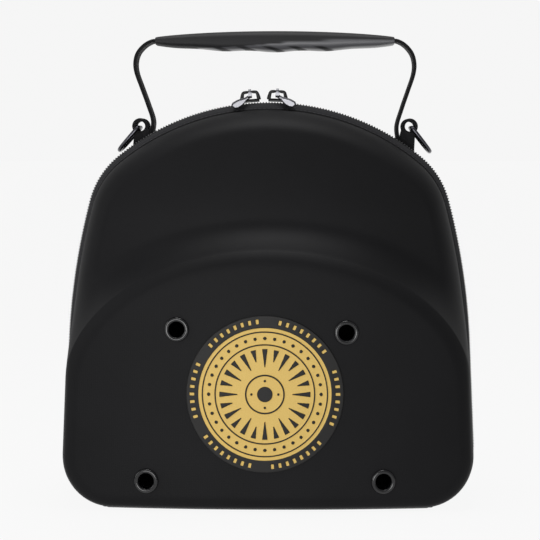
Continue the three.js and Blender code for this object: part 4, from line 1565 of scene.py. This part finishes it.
@dataclass
class Badge:
    """Round rubber badge that follows the dome: a dark rim, a gold field and a plain pattern of rings and bars."""

    shop: Workshop
    shell: FrontShell
    radius: float = 54.4
    thickness: float = 1.2
    seat_gap: float = 0.3
    centre: Point = (-1.4, 83.5)
    field_radius: float = 46
    rays: int = 24
    dots: int = 36
    ticks: int = 60
    tick_ring: float = 50.4
    rings: tuple[Point, ...] = ((43.2, 0.5), (34.4, 0.5), (13.2, 0.6))
    dot_ring: float = 38.8
    dot_radius: float = 1.2
    ray_starts: Point = (16.5, 21.5)
    ray_end: float = 31.5
    hub_radius: float = 5.4
    stud_ring: float = 9.3
    relief: float = 0.45
    around: int = 480
    across: int = 116

    def inked(self, r: float, turn: float) -> float:
        """Share of the dark colour at a place on the badge, by a plain pattern.

        Args:
            r: Distance from the middle.
            turn: Angle round it in radians.

        Returns:
            1 on the dark raised parts, 0 on the gold field, with soft edges.
        """

        def band(distance: float, half: float) -> float:
            """Soft-edged band round a line."""
            return 1 - ease((abs(distance) - half) / 0.5 + 0.5)

        def sector(count: int) -> tuple[int, float]:
            """Number of the nearest of some evenly spaced spokes, and the angle from it."""
            step = 2 * math.pi / count
            return round(turn / step), (turn + step / 2) % step - step / 2

        number, off = sector(self.ticks)
        tick = min(band(r * math.sin(off), 0.8), band(r - self.tick_ring, 1.5)) if number % 10 > 1 else 0.0
        rim = ease((r - self.field_radius) / 0.5 + 0.5) * (1 - tick)
        rings = max(band(r - ring, half) for ring, half in self.rings)
        off = sector(self.dots)[1]
        dot = band(math.hypot(r * math.sin(off), r * math.cos(off) - self.dot_ring), self.dot_radius)
        number, off = sector(self.rays)
        low, high = self.ray_starts[number % 2], self.ray_end
        width = 1.9 * clamp((r - low) / (high - low)) if low < r < high else 0.0
        ray = band(r * math.sin(off), width) if width > 0.3 else 0.0
        hub = 1 - ease((r - self.hub_radius) / 0.5 + 0.5)
        off = (turn * 4 + math.pi) % (2 * math.pi) / 4 - math.pi / 4
        stud = band(math.hypot(r * math.sin(off), r - self.stud_ring), 0.9)
        return max(rim, rings, dot, ray, hub, stud)

    def build(self) -> None:
        """Build the badge as one closed net, with its pattern raised and in the attribute ink."""
        stand = self.seat_gap + self.thickness
        front = [self.radius * (1 - 0.006) * j / self.across for j in range(self.across + 1)]
        rows = [(r, None) for r in front]
        for step in range(1, 5):
            turn = math.radians(22.5 * step)
            inward = 0.33 * (1 - math.sin(turn))
            rows.append((self.radius - inward, stand - 0.5 * (1 - math.cos(turn))))
        rows += [(self.radius, self.seat_gap), (self.radius * 0.5, self.seat_gap), (0, self.seat_gap)]

        def spot(u: float, v: float) -> Vector:
            """Place of a point, from its share round the badge and along its section."""
            i, j = round(u * self.around), round(v * (len(rows) - 1))
            r, height = rows[j]
            turn = 2 * math.pi * (i % self.around) / self.around
            if height is None:
                ink = self.inked(r, turn)
                edge = ease((self.radius - r) / 1.5)
                height = stand - self.relief + self.relief * ink * edge + self.relief * (1 - edge)
            x = self.centre[0] + r * math.sin(turn)
            depth = self.shell.front_depth - sag(x, self.shell.dome_plan_radius) + height
            return Vector((x, -depth, self.centre[1] + r * math.cos(turn)))

        bm = net(self.around, len(rows) - 1, spot)
        ink = bm.verts.layers.float.new("ink")
        for vert in bm.verts:
            x, z = vert.co.x - self.centre[0], vert.co.z - self.centre[1]
            vert[ink] = self.inked(math.hypot(x, z), math.atan2(x, z) % (2 * math.pi))
        self.shop.piece("badge_moulded", bm, BADGE_RUBBER, "case", ["badge"], sharp=60)


@dataclass
class Studio:
    """Camera, soft studio light and a plain pale floor."""

    distance: float = 1.5
    azimuth: float = 1.0
    elevation: float = 3.5
    target: tuple[float, float, float] = (0.0006, 0.01375, 0.164)
    lens: float = 137.0
    background: float = 0.92
    ambient: float = 0.4

    def camera(self) -> None:
        """Set up the camera at the viewing angle."""
        turn, lift = math.radians(self.azimuth), math.radians(self.elevation)
        aim = Vector(self.target)
        away = Vector((math.sin(turn) * math.cos(lift), -math.cos(turn) * math.cos(lift), math.sin(lift)))
        data = bpy.data.cameras.new("camera")
        data.lens, data.sensor_width = self.lens, 36.0
        data.clip_end = 100.0
        camera = add_object("camera", data)
        camera.location = aim + away * self.distance
        camera.rotation_euler = (-away).to_track_quat("-Z", "Y").to_euler()
        bpy.context.scene.camera = camera

    def light(self, name: str, spot: tuple[float, float, float], size: float, power: float) -> None:
        """Add a square soft light that faces the object.

        Args:
            name: The light's name.
            spot: Its place in metres.
            size: Its side in metres.
            power: Its power in watts.
        """
        data = bpy.data.lights.new(name, "AREA")
        data.energy, data.size = power, size
        light = add_object(name, data)
        light.location = spot
        light.rotation_euler = (Vector(self.target) - Vector(spot)).to_track_quat("-Z", "Y").to_euler()

    def surround(self) -> None:
        """Make the pale surround: brighter behind the object than as light on it."""
        world = bpy.data.worlds.new("pale_surround")
        world.use_nodes = True
        tree = world.node_tree
        tree.nodes.clear()
        seen = add_node(tree, "Background", {"Color": (1, 1, 1, 1), "Strength": self.background})
        cast = add_node(tree, "Background", {"Color": (1, 1, 1, 1), "Strength": self.ambient})
        direct = add_node(tree, "LightPath").outputs["Is Camera Ray"]
        mix = add_node(tree, "MixShader", {0: direct, 1: cast.outputs[0], 2: seen.outputs[0]})
        add_node(tree, "OutputWorld", {"Surface": mix.outputs[0]})
        bpy.context.scene.world = world

    def floor(self) -> None:
        """Lay the floor, a pale sheet that hardly shows a shadow."""
        bm = bmesh.new()
        bmesh.ops.create_grid(bm, x_segments=8, y_segments=8, size=30.0)
        bmesh.ops.translate(bm, verts=bm.verts, vec=(0, 0, -0.0002))
        mesh = bpy.data.meshes.new("studio_floor")
        bm.to_mesh(mesh)
        bm.free()
        material = bpy.data.materials.new("pale_matte_card")
        material.use_nodes = True
        tree = material.node_tree
        tree.nodes.clear()
        card = add_node(tree, "BsdfDiffuse", {"Color": (0.03, 0.03, 0.03, 1)})
        glow = add_node(tree, "Emission", {"Color": (1, 1, 1, 1), "Strength": 0.915})
        both = add_node(tree, "AddShader", {0: card.outputs[0], 1: glow.outputs[0]})
        add_node(tree, "OutputMaterial", {"Surface": both.outputs[0]})
        mesh.materials.append(material)
        floor = add_object("studio_floor", mesh)
        floor.visible_diffuse = False

    def build(self) -> None:
        """Set up the whole studio."""
        bpy.context.scene.view_settings.view_transform = "Standard"
        self.camera()
        self.surround()
        self.floor()
        self.light("key", (-1.1, -1.3, 1.9), 1.2, 3)
        self.light("top", (0.0, 0.0, 1.4), 0.6, 9)
        self.light("side", (-1.7, -0.5, 0.7), 0.9, 5)
        self.light("low", (-0.12, -0.75, 0.02), 0.5, 5)


def main() -> None:
    """Build every piece in order and report it."""
    logging.basicConfig(level=logging.INFO, format="%(name)s %(message)s")
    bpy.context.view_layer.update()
    studio = Studio()
    studio.build()
    shop = Workshop()
    outline = Outline()
    front = FrontShell(shop, outline, Half.FRONT)
    front.build()
    BackShell(shop, outline, Half.BACK).build()
    ZipBand(shop, outline).build()
    Slider(shop, outline, "left", -13.5, Side.LEFT).build()
    Slider(shop, outline, "right", 5.9, Side.RIGHT).build()
    Handle(shop, outline).build()
    for name, centre in front.eyelets.items():
        Eyelet(shop, front, name, centre).build()
    Badge(shop, front).build()
    bpy.context.view_layer.update()
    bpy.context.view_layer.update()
    log.info("%d finishes", len(shop.made))


if __name__ == "__main__":
    main()
